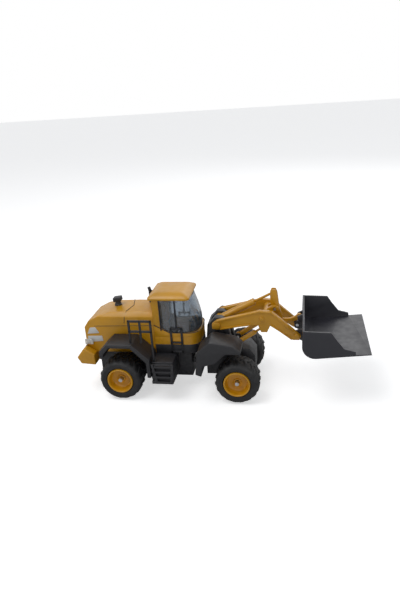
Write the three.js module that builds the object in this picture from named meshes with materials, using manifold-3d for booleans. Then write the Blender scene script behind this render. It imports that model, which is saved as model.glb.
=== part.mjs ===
// Toy front loader, modelled in millimetres with +X forward, +Y to its left and +Z up.
// Lengths along X are set from the rear axle, and the finished group is moved so that
// the origin lies on the floor at the middle of the model.
import * as THREE from 'three';
import { mergeVertices } from 'three/addons/utils/BufferGeometryUtils.js';
import Module from 'manifold-3d';

const wasm = await Module();
wasm.setup();

// Driving dimensions
const wheelbase = 120;
const tyreRadius = 22.5;
const tyreWidth = 26;
const trackWidth = 66;
const rimRadius = 13.4;
const axleRadius = 2;
const gap = 0.3;
const wall = 2;
const overrun = 2;

// Rear half
const frameHalf = 14;
const frameLow = 14;
const frameTop = 42;
const bonnetHalf = 20;
const bonnetTop = 88;
const bonnetTail = 41;
const bonnetNose = 34;
const weightTail = 50;
const weightHalf = 30;
const weightLow = 33;
const cabLength = 47;
const cabHalf = 21;
const cabFloor = 44;
const cabSill = 66;
const cabHeader = 102;
const roofHeight = 6.5;
const roofOverhang = 4;
const glassThickness = 1.2;
const fenderThickness = 2.5;
const archTop = 62;
const archReach = 33;
const stepLength = 22;

// Front half
const hitchSetback = 3.3;
const boomSetback = 21;
const boomPivotZ = 74;
const armThickness = 4;
const armInner = 13.5;
const bendReach = 28;
const bendZ = 84;
const bucketReach = 58;
const bucketPinZ = 63;
const crankReach = 36;
const crankPivotZ = 87;
const crankTopRise = 16;
const crankDrop = 14;
const pinRadius = 1.5;
const bucketWidth = 92;
const bucketHeight = 29;
const floorLength = 62;
const bucketWall = 1.8;
const bucketRoll = 6;

const wheelMiddle = trackWidth / 2;
const wheelOuter = wheelMiddle + tyreWidth / 2;
const wheelInner = wheelMiddle - tyreWidth / 2;
const axleHeight = tyreRadius;
const cabRear = bonnetNose + gap;
const cabFront = cabRear + cabLength;
const hitchX = cabFront - hitchSetback;
const boomPivotX = wheelbase - boomSetback;
const bendX = wheelbase + bendReach;
const crankPivotX = wheelbase + crankReach;
const bucketPinX = wheelbase + bucketReach;

const colours = { yellow: 0xd9930d, black: 0x1d1d22, steel: 0x9a9a9c, glass: 0x9fb2bd, lamp: 0xd8d4cc };

function finish(colour, roughness, metalness = 0) {
  return new THREE.MeshStandardMaterial({ color: colour, roughness, metalness });
}

const finishes = {
  body: finish(colours.yellow, 0.38),
  trim: finish(colours.black, 0.5),
  rubber: finish(colours.black, 0.8),
  steel: finish(colours.steel, 0.3, 1),
  glass: finish(colours.glass, 0.08),
  lamp: finish(colours.lamp, 0.2),
};

const loader = new THREE.Group();
loader.name = 'toy_front_loader';

function solid(geometry) {
  const plain = geometry.clone();
  plain.deleteAttribute('normal');
  if (plain.getAttribute('uv')) plain.deleteAttribute('uv');
  const merged = mergeVertices(plain);
  const triVerts = new Uint32Array(merged.index.array);
  const vertProperties = new Float32Array(merged.getAttribute('position').array);
  return new wasm.Manifold(new wasm.Mesh({ numProp: 3, vertProperties, triVerts }));
}

function geometryOf(manifold) {
  const mesh = manifold.getMesh();
  const geometry = new THREE.BufferGeometry();
  geometry.setAttribute('position', new THREE.BufferAttribute(new Float32Array(mesh.vertProperties), 3));
  geometry.setIndex(new THREE.BufferAttribute(new Uint32Array(mesh.triVerts), 1));
  geometry.computeVertexNormals();
  return geometry;
}

function join(...geometries) {
  const solids = geometries.map(solid);
  return geometryOf(solids.reduce((whole, next) => whole.add(next)));
}

function cut(geometry, ...tools) {
  return geometryOf(tools.map(solid).reduce((whole, tool) => whole.subtract(tool), solid(geometry)));
}

function common(first, second) {
  return geometryOf(solid(first).intersect(solid(second)));
}

function add(name, geometry, material) {
  const mesh = new THREE.Mesh(geometry, material);
  mesh.name = name;
  loader.add(mesh);
}

// Adds a piece on the right-hand side and its mirror image on the left-hand side.
function addPair(name, geometryForSide, material) {
  add(`right_${name}`, geometryForSide(-1), material);
  add(`left_${name}`, geometryForSide(1), material);
}

function box(lowX, highX, lowY, highY, lowZ, highZ) {
  const geometry = new THREE.BoxGeometry(highX - lowX, highY - lowY, highZ - lowZ);
  geometry.translate((lowX + highX) / 2, (lowY + highY) / 2, (lowZ + highZ) / 2);
  return geometry;
}

// A box whose Y span is given from the middle outwards on one side.
function sideBox(side, lowX, highX, inner, outer, lowZ, highZ) {
  return box(lowX, highX, Math.min(side * inner, side * outer), Math.max(side * inner, side * outer), lowZ, highZ);
}

function shapeOf(points) {
  return new THREE.Shape(points.map(([across, up]) => new THREE.Vector2(across, up)));
}

// An outline drawn in X and Z, made solid from lowY to highY.
function sideProfile(points, lowY, highY, holes = []) {
  const shape = points instanceof THREE.Shape ? points : shapeOf(points);
  shape.holes.push(...holes);
  const geometry = new THREE.ExtrudeGeometry(shape, { depth: highY - lowY, bevelEnabled: false, curveSegments: 6 });
  geometry.rotateX(Math.PI / 2);
  geometry.translate(0, highY, 0);
  return geometry;
}

function sideProfileOn(side, points, inner, outer) {
  return sideProfile(points, Math.min(side * inner, side * outer), Math.max(side * inner, side * outer));
}

// An outline drawn in Y and Z, made solid from lowX to highX.
function crossProfile(points, lowX, highX) {
  const geometry = new THREE.ExtrudeGeometry(shapeOf(points), { depth: highX - lowX, bevelEnabled: false });
  const turn = new THREE.Matrix4().makeBasis(
    new THREE.Vector3(0, 1, 0), new THREE.Vector3(0, 0, 1), new THREE.Vector3(1, 0, 0));
  geometry.applyMatrix4(turn);
  geometry.translate(lowX, 0, 0);
  return geometry;
}

// An outline drawn in X and Y, made solid from lowZ to highZ.
function planProfile(shape, lowZ, highZ) {
  const geometry = new THREE.ExtrudeGeometry(shape, { depth: highZ - lowZ, bevelEnabled: false, curveSegments: 8 });
  geometry.translate(0, 0, lowZ);
  return geometry;
}

function rodAcross(x, z, radius, lowY, highY, sides = 16) {
  const geometry = new THREE.CylinderGeometry(radius, radius, highY - lowY, sides);
  geometry.translate(x, (lowY + highY) / 2, z);
  return geometry;
}

function rodAcrossOn(side, x, z, radius, inner, outer, sides = 20) {
  return rodAcross(x, z, radius, Math.min(side * inner, side * outer), Math.max(side * inner, side * outer), sides);
}

function upright(x, y, radius, lowZ, highZ, sides = 16) {
  const geometry = new THREE.CylinderGeometry(radius, radius, highZ - lowZ, sides);
  geometry.rotateX(Math.PI / 2);
  geometry.translate(x, y, (lowZ + highZ) / 2);
  return geometry;
}

// A four-sided block whose top face is smaller than its base.
function taperedBlock(base, top) {
  const corners = [
    [base.lowX, -base.half, base.z], [base.highX, -base.half, base.z],
    [base.highX, base.half, base.z], [base.lowX, base.half, base.z],
    [top.lowX, -top.half, top.z], [top.highX, -top.half, top.z],
    [top.highX, top.half, top.z], [top.lowX, top.half, top.z],
  ];
  const faces = [0, 2, 1, 0, 3, 2, 4, 5, 6, 4, 6, 7, 0, 1, 5, 0, 5, 4,
    1, 2, 6, 1, 6, 5, 2, 3, 7, 2, 7, 6, 3, 0, 4, 3, 4, 7];
  const geometry = new THREE.BufferGeometry();
  geometry.setAttribute('position', new THREE.Float32BufferAttribute(corners.flat(), 3));
  geometry.setIndex(faces);
  geometry.computeVertexNormals();
  return geometry;
}

// Wheels: a lugged tyre on a dished rim, a pair of them on each steel axle.
const lugCount = 18;
const lugDepth = 2.2;
const shoulder = 4;
const hubRadius = 6;
const dishDepth = 7;
const rimLip = 2;
// Each tooth's corners, as shares of the pitch and of the lug depth, with one flat straight down.
const toothShares = [[-0.2, 1], [0.2, 1], [0.3, 0], [0.7, 0]];

function tyre(x, side) {
  const points = [];
  const pitch = 2 * Math.PI / lugCount;
  const crown = tyreRadius / Math.cos(toothShares[1][0] * pitch);
  for (let lug = 0; lug < lugCount; lug += 1) {
    for (const [alongShare, riseShare] of toothShares) {
      const angle = (lug + alongShare) * pitch - Math.PI / 2;
      const radius = crown - lugDepth * (1 - riseShare);
      points.push([radius * Math.cos(angle), radius * Math.sin(angle)]);
    }
  }
  const tread = sideProfile(points, -tyreWidth / 2, tyreWidth / 2);
  const seat = rimRadius + gap;
  const outline = [
    [seat, -tyreWidth / 2 + rimLip], [seat + rimLip, -tyreWidth / 2], [tyreRadius - shoulder, -tyreWidth / 2],
    [tyreRadius + gap, -tyreWidth / 2 + shoulder], [tyreRadius + gap, tyreWidth / 2 - shoulder],
    [tyreRadius - shoulder, tyreWidth / 2], [seat + rimLip, tyreWidth / 2], [seat, tyreWidth / 2 - rimLip],
    [seat, -tyreWidth / 2 + rimLip],
  ].map(([radius, along]) => new THREE.Vector2(radius, along));
  const body = new THREE.LatheGeometry(outline, 2 * lugCount);
  const geometry = common(tread, body);
  geometry.translate(x, side * wheelMiddle, axleHeight);
  return geometry;
}

function rim(x, side) {
  const half = tyreWidth / 2;
  const outline = [
    [axleRadius + gap, -half + rimLip], [rimRadius, -half + rimLip], [rimRadius, half],
    [rimRadius - rimLip, half], [rimRadius - 2 * rimLip, half - dishDepth], [hubRadius, half - dishDepth],
    [hubRadius - 1, half - rimLip], [axleRadius + gap, half - rimLip], [axleRadius + gap, -half + rimLip],
  ].map(([radius, along]) => new THREE.Vector2(radius, along));
  const geometry = new THREE.LatheGeometry(outline, 20);
  if (side < 0) geometry.rotateZ(Math.PI);
  geometry.translate(x, side * wheelMiddle, axleHeight);
  return geometry;
}

for (const [place, x] of [['rear', 0], ['front', wheelbase]]) {
  addPair(`${place}_tyre`, (side) => tyre(x, side), finishes.rubber);
  addPair(`${place}_rim`, (side) => rim(x, side), finishes.body);
  add(`${place}_axle`, rodAcross(x, axleHeight, axleRadius, -wheelOuter + rimLip, wheelOuter - rimLip), finishes.steel);
}

// Rear frame: one deep beam that carries the axle, the cab and the hitch.
const frameTail = 30;
const tongueLength = 8;
const frameNose = hitchX - tongueLength;
const hitchPinRadius = 2.5;
const hitchPlate = 4;
const hitchRadius = 7;
const hitchLow = 26;
const hitchHigh = frameTop - hitchPlate;

function rearFrame() {
  const beam = box(-frameTail, frameNose, -frameHalf, frameHalf, frameLow, frameTop);
  const tongues = [hitchLow, hitchHigh].map((low) => join(
    box(frameNose - overrun, hitchX, -hitchRadius, hitchRadius, low, low + hitchPlate),
    upright(hitchX, 0, hitchRadius, low, low + hitchPlate)));
  const bores = [
    rodAcross(0, axleHeight, axleRadius + gap, -frameHalf - overrun, frameHalf + overrun),
    upright(hitchX, 0, hitchPinRadius + gap, frameLow, frameTop + overrun),
  ];
  return cut(join(beam, ...tongues), ...bores);
}

add('rear_frame', rearFrame(), finishes.trim);
add('hitch_pin', upright(hitchX, 0, hitchPinRadius, hitchLow - overrun, frameTop + overrun / 2), finishes.steel);

// Bonnet: its side outline met with a section that has sloping shoulders.
const shoulderDrop = 5;
const shoulderInset = 4;
const bonnetBase = frameTop + gap;
const tailRise = 76;
const tailSlope = 5;
const crownStart = 24;
const crownDrop = 4;

function bonnet() {
  const outline = sideProfile([
    [-bonnetTail, bonnetBase], [bonnetNose, bonnetBase], [bonnetNose, bonnetTop - wall / 2],
    [bonnetNose - tailSlope, bonnetTop], [bonnetNose / 3, bonnetTop], [-crownStart / 2, bonnetTop - wall / 2],
    [-crownStart, bonnetTop - crownDrop], [-bonnetTail + tailSlope, tailRise + wall],
    [-bonnetTail, tailRise - tailSlope],
  ], -bonnetHalf, bonnetHalf);
  const section = crossProfile([
    [-bonnetHalf, bonnetBase], [bonnetHalf, bonnetBase], [bonnetHalf, bonnetTop - shoulderDrop],
    [bonnetHalf - shoulderInset, bonnetTop], [-bonnetHalf + shoulderInset, bonnetTop],
    [-bonnetHalf, bonnetTop - shoulderDrop],
  ], -bonnetTail - overrun, bonnetNose + overrun);
  const well = archTop - axleHeight - 2 * wall;
  const wells = [-1, 1].map((side) => rodAcrossOn(side, 0, axleHeight, well, wheelInner - wall / 2, bonnetHalf + overrun));
  return cut(common(outline, section), ...wells);
}

add('bonnet', bonnet(), finishes.body);

// Counterweight and the pieces on the tail.
const weightTop = 50;
const weightChamfer = 4;
const weightRise = 7;
const weightNose = frameTail + gap;
const grilleHalf = 14;
const grilleLow = 52;
const grilleTop = 58;
const lampWidth = 8;
const lampHeight = 6;
const lampDepth = 2;

function counterweight() {
  const outline = sideProfile([
    [-weightTail + weightChamfer, weightLow], [-weightNose, weightLow - wall / 2], [-weightNose, weightTop - lampHeight],
    [-bonnetTail + wall / 2, weightTop], [-bonnetTail - wall / 2, weightTop], [-weightTail, weightLow + weightRise],
  ], -weightHalf, weightHalf);
  const seat = box(-bonnetTail - gap, -weightNose + overrun, -bonnetHalf - gap, bonnetHalf + gap,
    frameTop, weightTop + overrun);
  return cut(outline, seat);
}

add('counterweight', counterweight(), finishes.body);
add('tail_grille', box(-bonnetTail - lampDepth, -bonnetTail - gap, -grilleHalf, grilleHalf, grilleLow, grilleTop),
  finishes.trim);
addPair('tail_lamp', (side) => sideBox(side, -bonnetTail - lampDepth / 2, -bonnetTail + lampWidth, bonnetHalf + gap,
  bonnetHalf + lampDepth, grilleLow, grilleLow + lampHeight), finishes.lamp);

// Stack and breather on the bonnet.
const stackX = -9;
const stackY = 3;
const stackRadius = 3.2;
const stackRise = 9;
const stackHead = 4.5;
const pipeX = 26;
const pipeY = 10;
const pipeRadius = 1.8;
const pipeRise = 17;

function airStack() {
  const foot = bonnetTop - stackRise;
  const bodyShape = upright(stackX, stackY, stackRadius, foot, bonnetTop + stackRise - stackHead);
  const head = upright(stackX, stackY, stackHead, bonnetTop + stackRise - stackHead - wall / 2, bonnetTop + stackRise);
  return cut(join(bodyShape, head), bonnet());
}

add('air_stack', airStack(), finishes.trim);
add('exhaust_pipe', upright(pipeX, pipeY, pipeRadius, bonnetTop + gap, bonnetTop + pipeRise), finishes.trim);

// Cab: a tub with a rounded nose, a rear wall, wrapped glass and a tapered roof.
const noseRadius = 14;
const rearWallDepth = 7;
const cabWall = 2;
const floorDepth = 3;
const roofInset = 5;
const brimHeight = 2.5;

function cabPlan(inset, rear) {
  const plan = new THREE.Shape();
  const half = cabHalf - inset;
  const front = cabFront - inset;
  const corner = noseRadius - inset;
  plan.moveTo(rear, -half);
  plan.lineTo(front - corner, -half);
  plan.quadraticCurveTo(front - inset, -half, front, -half + corner);
  plan.lineTo(front, half - corner);
  plan.quadraticCurveTo(front - inset, half, front - corner, half);
  plan.lineTo(rear, half);
  plan.closePath();
  return plan;
}

function cabTub() {
  const outer = planProfile(cabPlan(0, cabRear), cabFloor, cabSill);
  const inner = planProfile(cabPlan(cabWall, cabRear + cabWall), cabFloor + floorDepth, cabSill + overrun);
  return cut(outer, inner);
}

function cabGlass() {
  const glassRear = cabRear + rearWallDepth + gap;
  const outer = planProfile(cabPlan(gap, glassRear), cabSill + gap, cabHeader - gap);
  const inner = planProfile(cabPlan(gap + glassThickness, glassRear - overrun), cabSill - overrun,
    cabHeader + overrun);
  return cut(outer, inner);
}

function cabRearWall() {
  const frame = box(cabRear, cabRear + rearWallDepth, -cabHalf, cabHalf, cabSill + gap, cabHeader - gap);
  const hollow = box(cabRear + cabWall, cabRear + rearWallDepth + overrun, -cabHalf + cabWall, cabHalf - cabWall,
    cabSill, cabHeader);
  const window = box(cabRear - overrun, cabRear + rearWallDepth, -cabHalf / 2, cabHalf / 2,
    bonnetTop + cabWall, cabHeader - 2 * cabWall);
  return cut(frame, hollow, window);
}

function cabRoof() {
  const rear = cabRear - roofOverhang;
  const front = cabFront - 2 * roofOverhang;
  const half = cabHalf + roofOverhang / 2;
  const brim = box(rear, front, -half, half, cabHeader, cabHeader + brimHeight);
  const crown = taperedBlock({ lowX: rear, highX: front, half, z: cabHeader + brimHeight - gap },
    { lowX: rear + roofInset, highX: front - roofInset / 2, half: half - roofInset, z: cabHeader + roofHeight });
  return join(brim, crown);
}

add('cab_tub', cabTub(), finishes.body);
add('cab_rear_wall', cabRearWall(), finishes.body);
add('cab_glass', cabGlass(), finishes.glass);
add('cab_roof', cabRoof(), finishes.body);

// Inside the cab: a seat on the floor and a wheel on its column.
const seatSetback = 16;
const seatX = cabRear + seatSetback;
const seatHalf = 7;
const seatLength = 14;
const seatRise = 9;
const backRise = 18;
const columnSetback = 9;
const columnX = cabFront - columnSetback;
const columnRise = 6;
const columnTop = cabSill + columnRise;
const wheelRimRadius = 5;

function seat() {
  const floor = cabFloor + floorDepth + gap;
  return sideProfile([
    [seatX, floor], [seatX + seatLength - wall, floor], [seatX + seatLength, floor + seatRise],
    [seatX + wall, floor + seatRise + wall], [seatX - wall / 2, floor + seatRise + backRise],
    [seatX - 2 * wall, floor + seatRise + backRise], [seatX - wall, floor + seatRise],
  ], -seatHalf, seatHalf);
}

function steeringWheel() {
  const floor = cabFloor + floorDepth + gap;
  return join(upright(columnX, 0, wall / 2, floor, columnTop),
    upright(columnX, 0, wheelRimRadius, columnTop - wall / 2, columnTop + wall / 2));
}

add('driver_seat', seat(), finishes.trim);
add('steering_wheel', steeringWheel(), finishes.trim);

// Rear fenders, steps and handrails down both sides.
const fenderInner = bonnetHalf + gap;
const fenderOuter = wheelOuter + wall / 2;
const fenderTop = archTop;
const fenderFront = 31.4;
const fenderRear = 15;
const leanShare = 0.5;
const fenderRearLift = 6;
const fenderFrontDrop = 14;

function archOutline(centreX, rearReach, frontReach, rearLow, frontLow) {
  const top = archTop + fenderThickness;
  const under = archTop;
  return [
    [centreX - rearReach - fenderThickness, rearLow], [centreX - rearReach, rearLow],
    [centreX - rearReach, under - archReach * leanShare / 2], [centreX - rearReach * leanShare, under],
    [centreX + frontReach * leanShare, under], [centreX + frontReach, under - archReach * leanShare],
    [centreX + frontReach, frontLow], [centreX + frontReach + fenderThickness, frontLow],
    [centreX + frontReach + fenderThickness, top - archReach * leanShare],
    [centreX + frontReach * leanShare + wall / 2, top], [centreX - rearReach * leanShare - wall / 2, top],
    [centreX - rearReach - fenderThickness, top - archReach * leanShare / 2],
  ];
}

addPair('rear_fender', (side) => sideProfileOn(side,
  archOutline(0, fenderRear, fenderFront, frameTop + fenderRearLift, frameTop - fenderFrontDrop), fenderInner, fenderOuter), finishes.trim);

const stepRear = cabRear;
const stepLow = 21;
const treadInset = 0.6;
const treadShare = 0.6;
const treadCount = 4;
const deckTop = cabFloor - gap;

function steps(side) {
  const rise = (deckTop - stepLow) / treadCount;
  const points = [[side * (frameHalf + gap), deckTop], [side * (frameHalf + gap), stepLow]];
  for (let tread = 0; tread < treadCount; tread += 1) {
    const reach = fenderOuter - wall / 2 - tread * treadInset;
    const treadTop = stepLow + (tread + treadShare) * rise;
    points.push([side * reach, stepLow + tread * rise], [side * reach, treadTop],
      [side * (reach - wall), treadTop], [side * (reach - wall), stepLow + (tread + 1) * rise]);
  }
  return crossProfile(side < 0 ? points.reverse() : points, stepRear, stepRear + stepLength);
}

addPair('steps', steps, finishes.trim);

const railRadius = 1;
const railTop = bonnetTop + railRadius;
const railFoot = fenderTop + fenderThickness + gap;
const railStart = 14;
const railEnd = stepRear + 2 * wall;
const railInset = 6;
const railPlane = fenderOuter - railInset;

function handrail(side) {
  const inner = railPlane - railRadius;
  const outer = railPlane + railRadius;
  const post = 2 * railRadius;
  const middle = (railFoot + railTop) / 2;
  const bars = [
    sideBox(side, railStart, railEnd, inner, outer, railTop - post, railTop),
    sideBox(side, railStart, railStart + post, inner, outer, railFoot, railTop),
    sideBox(side, railEnd - post, railEnd, inner, outer, deckTop + gap, railTop),
    sideBox(side, railStart, railEnd, inner, outer, middle - railRadius / 2, middle + railRadius / 2),
  ];
  return join(...bars);
}

addPair('handrail', handrail, finishes.trim);

// Front frame: a block round the front axle with a tower of two cheeks for the boom.
const frontFrameRear = hitchX + hitchRadius + gap;
const noseReach = 16;
const noseChamfer = 6;
const bellyRise = 2;
const noseRise = 8;
const pivotCrown = 6;
const frontFrameNose = wheelbase + noseReach;
const frontFrameTop = 46;
const armClearance = 1;
const frontFrameHalf = armInner - armClearance;
const towerSlot = 5;
const towerReach = 9;
const hitchTongue = 5;
const midLow = hitchLow + hitchPlate + gap;
const midHigh = hitchHigh - gap;
const liftFootSetback = 3;
const liftFootRise = 5;
const liftFootX = wheelbase - liftFootSetback;
const liftFootZ = frontFrameTop + liftFootRise;
const liftPlane = 9.5;
const liftEyeWidth = 4;
const liftBarrelRadius = 2.4;
const liftLug = 3.2;
const liftLugOuter = liftPlane - liftBarrelRadius - gap;

function frontFrame() {
  const body = sideProfile([
    [frontFrameRear, frameLow + bellyRise], [frontFrameNose - noseChamfer, frameLow + bellyRise],
    [frontFrameNose, frameLow + noseRise], [frontFrameNose, frontFrameTop - noseRise],
    [frontFrameNose - noseChamfer, frontFrameTop], [boomPivotX + towerReach + noseChamfer, frontFrameTop],
    [boomPivotX + towerReach, boomPivotZ + pivotCrown / 2], [boomPivotX + pivotCrown / 2, boomPivotZ + pivotCrown],
    [boomPivotX - pivotCrown / 2, boomPivotZ + pivotCrown], [boomPivotX - towerReach, boomPivotZ - wall],
    [frontFrameRear, cabFloor - wall],
  ], -frontFrameHalf, frontFrameHalf);
  const slot = box(frontFrameRear - overrun, boomPivotX + towerReach + noseRise, -towerSlot, towerSlot,
    frontFrameTop, boomPivotZ + noseRise);
  const tongue = join(
    box(hitchX, frontFrameRear + overrun, -hitchTongue, hitchTongue, midLow, midHigh),
    upright(hitchX, 0, hitchTongue, midLow, midHigh));
  const bores = [
    rodAcross(wheelbase, axleHeight, axleRadius + gap, -frontFrameHalf - overrun, frontFrameHalf + overrun),
    rodAcross(boomPivotX, boomPivotZ, pinRadius + gap, -frontFrameHalf - overrun, frontFrameHalf + overrun),
    upright(hitchX, 0, hitchPinRadius + gap, midLow - overrun, midHigh + overrun),
  ];
  const hull = cut(join(body, tongue), slot, ...bores);
  const lugs = [-1, 1].map((side) => join(
    sideBox(side, liftFootX - liftLug, liftFootX + liftLug, towerSlot, liftLugOuter, frontFrameTop - wall, liftFootZ),
    rodAcrossOn(side, liftFootX, liftFootZ, liftLug, towerSlot, liftLugOuter)));
  return cut(join(hull, ...lugs), rodAcross(liftFootX, liftFootZ, pinRadius + gap, -frontFrameHalf, frontFrameHalf));
}

add('front_frame', frontFrame(), finishes.trim);

// Front fenders: a slanted guard over each front wheel with a skirt behind it.
const skirtLow = 31;
const skirtFlare = 5;
const guardRear = 20;
const guardFront = 5;
const guardBrow = 25;
const guardLow = 56;
const guardRise = 9;
const guardCrown = 4;
const guardTop = guardLow + guardRise;
const bracketDrop = 11;
const bracketLow = guardTop - bracketDrop;
const bracketHeight = 5;

function frontFender(side) {
  const back = wheelbase - archReach - fenderThickness;
  const points = [
    [back - skirtFlare, skirtLow + wall], [back + wall / 2, skirtLow], [back + fenderThickness, frameTop],
    [wheelbase - guardRear, guardLow - guardRear / 2], [wheelbase - guardRear / 2, guardLow],
    [wheelbase + guardFront, guardLow], [wheelbase + guardFront, guardLow + fenderThickness + wall / 2],
    [wheelbase - wall, guardTop], [wheelbase - guardBrow, guardTop + guardCrown],
    [back - fenderThickness, guardTop - 2 * guardCrown],
  ];
  const guard = sideProfileOn(side, points, cabHalf - wall / 4, fenderOuter);
  const bracket = sideBox(side, boomPivotX - towerReach, boomPivotX + towerReach, frontFrameHalf + gap, cabHalf,
    bracketLow, bracketLow + bracketHeight);
  return join(guard, bracket);
}

addPair('front_fender', frontFender, finishes.trim);

// Boom: two bent arms joined by a cross tube that carries the bell crank's ears.
const liftHeadSetback = 2;
const liftHeadDrop = 14;
const liftHeadX = bendX - liftHeadSetback;
const liftHeadZ = bendZ - liftHeadDrop;
const armOuter = armInner + armThickness;
const armRear = 5;
const armDepth = 6;
const armEye = 4;
const lugReach = 3;
const tubeRadius = 3.5;
const earThickness = 2.5;
const crankThickness = 6;
const crankCheek = 1.2;
const earInner = crankThickness / 2 + gap;

function liftArm(side) {
  const points = [
    [boomPivotX - armRear, boomPivotZ - armEye], [boomPivotX, boomPivotZ - armRear],
    [liftHeadX - 2 * lugReach, bendZ - armDepth - lugReach], [liftHeadX - lugReach, liftHeadZ - lugReach],
    [liftHeadX + lugReach, liftHeadZ - lugReach], [liftHeadX + 2 * lugReach, bendZ - armDepth - armEye],
    [bucketPinX - armEye, bucketPinZ - armEye], [bucketPinX + armEye / 2, bucketPinZ - armEye],
    [bucketPinX + armEye, bucketPinZ], [bucketPinX, bucketPinZ + armEye], [bendX + armDepth, bendZ + armRear],
    [bendX - armDepth, bendZ + armDepth], [boomPivotX, boomPivotZ + armRear],
    [boomPivotX - armRear, boomPivotZ + wall / 2],
  ];
  const plate = sideProfileOn(side, points, armInner, armOuter);
  const bores = [
    rodAcrossOn(side, boomPivotX, boomPivotZ, pinRadius + gap, armInner - overrun, armOuter + overrun, 16),
    rodAcrossOn(side, bucketPinX, bucketPinZ, pinRadius + gap, armInner - overrun, armOuter + overrun, 16),
  ];
  const boss = rodAcrossOn(side, liftHeadX, liftHeadZ, lugReach - wall / 4, liftPlane + liftEyeWidth / 2 + gap,
    armOuter, 12);
  return cut(join(plate, boss), ...bores);
}

function crossTube() {
  const tube = rodAcross(bendX, bendZ, tubeRadius, -armInner + gap, armInner - gap);
  const ears = [-1, 1].map((side) => sideProfileOn(side, [
    [bendX - wall, bendZ - wall], [bendX + wall, bendZ - tubeRadius + wall / 4],
    [crankPivotX + armEye, crankPivotZ - wall / 2], [crankPivotX + armEye, crankPivotZ + wall],
    [crankPivotX + wall / 2, crankPivotZ + armEye], [crankPivotX - wall, crankPivotZ + armEye],
    [bendX - wall, bendZ + wall],
  ], earInner, earInner + earThickness));
  const bore = rodAcross(crankPivotX, crankPivotZ, pinRadius + gap, -armInner, armInner);
  const throat = box(bendX + tubeRadius / 2, crankPivotX, -earInner, earInner, bendZ - armDepth, bendZ + armDepth + wall);
  return cut(join(tube, ...ears), bore, throat);
}

addPair('lift_arm', liftArm, finishes.body);
add('cross_tube', crossTube(), finishes.body);
add('boom_pin', rodAcross(boomPivotX, boomPivotZ, pinRadius, -armOuter - wall / 2, armOuter + wall / 2),
  finishes.steel);

// Bell crank: a bent lever on a pin between the ears.
const crankLean = 1;
const crankFootReach = 6;
const crankTopX = crankPivotX - crankLean;
const crankTopZ = crankPivotZ + crankTopRise;
const crankFootX = crankPivotX + crankFootReach;
const crankFootZ = crankPivotZ - crankDrop;
const crankEye = 3.6;

function bellCrank() {
  const half = crankThickness / 2;
  const lever = sideProfile([
    [crankTopX - crankEye, crankTopZ], [crankPivotX - crankEye, crankPivotZ],
    [crankFootX - crankEye + crankLean, crankFootZ], [crankFootX, crankFootZ - crankEye + crankLean],
    [crankFootX + crankEye - crankLean, crankFootZ], [crankPivotX + crankEye + crankLean, crankPivotZ],
    [crankTopX + crankEye, crankTopZ], [crankTopX + wall, crankTopZ + crankEye],
    [crankTopX - wall, crankTopZ + crankEye],
  ], -half, half);
  const fork = box(crankTopX - 2 * crankEye, crankTopX + 2 * crankEye, -half + crankCheek, half - crankCheek,
    crankTopZ - crankEye - wall, crankTopZ + 2 * crankEye);
  const foot = box(crankFootX - 2 * crankEye, crankFootX + 2 * crankEye, -half + crankCheek, half - crankCheek,
    crankFootZ - 2 * crankEye, crankFootZ + crankEye);
  const bore = rodAcross(crankPivotX, crankPivotZ, pinRadius + gap, -half - overrun, half + overrun);
  const footBore = rodAcross(crankFootX, crankFootZ, pinRadius + gap / 2, -half - overrun, half + overrun);
  return cut(lever, bore, footBore, fork, foot);
}

add('bell_crank', bellCrank(), finishes.body);
add('crank_pin', rodAcross(crankPivotX, crankPivotZ, pinRadius, -earInner - earThickness - wall / 2,
  earInner + earThickness + wall / 2), finishes.steel);

// Cylinders: a bored barrel with an eye at its foot, and a rod that slides in it.
function along(geometry, x, z, angle, y = 0) {
  const placed = geometry.clone();
  placed.rotateY(-angle);
  placed.translate(x, y, z);
  return placed;
}

function barrelGeometry(length, radius, rodSize, eyeRadius, eyeWidth, boreRadius, reach) {
  const outline = [
    [0, reach], [radius, reach], [radius, length], [rodSize + gap, length], [rodSize + gap, reach + wall],
    [0, reach + wall],
  ].map(([across, up]) => new THREE.Vector2(across, up));
  const body = new THREE.LatheGeometry(outline, 16);
  body.rotateZ(-Math.PI / 2);
  const eye = rodAcross(0, 0, eyeRadius, -eyeWidth / 2, eyeWidth / 2);
  return cut(join(body, eye), rodAcross(0, 0, boreRadius, -eyeWidth, eyeWidth));
}

function rodGeometry(start, end, rodSize, eyeRadius, eyeWidth) {
  const shank = new THREE.CylinderGeometry(rodSize, rodSize, end - start, 12);
  shank.rotateZ(-Math.PI / 2);
  shank.translate((start + end) / 2, 0, 0);
  return join(shank, rodAcross(end, 0, eyeRadius, -eyeWidth / 2, eyeWidth / 2));
}

const tiltAngle = Math.atan2(crankTopZ - boomPivotZ, crankTopX - boomPivotX);
const tiltSpan = Math.hypot(crankTopZ - boomPivotZ, crankTopX - boomPivotX);
const tiltBarrelShare = 0.66;
const tiltRodShare = 0.4;
const tiltBarrelRadius = 3.6;
const tiltRodRadius = 1.3;
const tiltEye = 4;
const tiltRodEyeWidth = crankThickness - 2 * crankCheek - 2 * gap;

add('tilt_barrel', along(barrelGeometry(tiltSpan * tiltBarrelShare, tiltBarrelRadius, tiltRodRadius, tiltEye,
  2 * (towerSlot - gap), pinRadius + gap, tiltEye / 2), boomPivotX, boomPivotZ, tiltAngle), finishes.body);
add('tilt_rod', along(rodGeometry(tiltSpan * tiltRodShare, tiltSpan, tiltRodRadius, crankEye - 1, tiltRodEyeWidth),
  boomPivotX, boomPivotZ, tiltAngle), finishes.body);

const liftAngle = Math.atan2(liftHeadZ - liftFootZ, liftHeadX - liftFootX);
const liftSpan = Math.hypot(liftHeadZ - liftFootZ, liftHeadX - liftFootX);
const liftBarrelShare = 0.68;
const liftRodShare = 0.33;
const liftRodRadius = 1.2;
const liftEye = 3;

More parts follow.
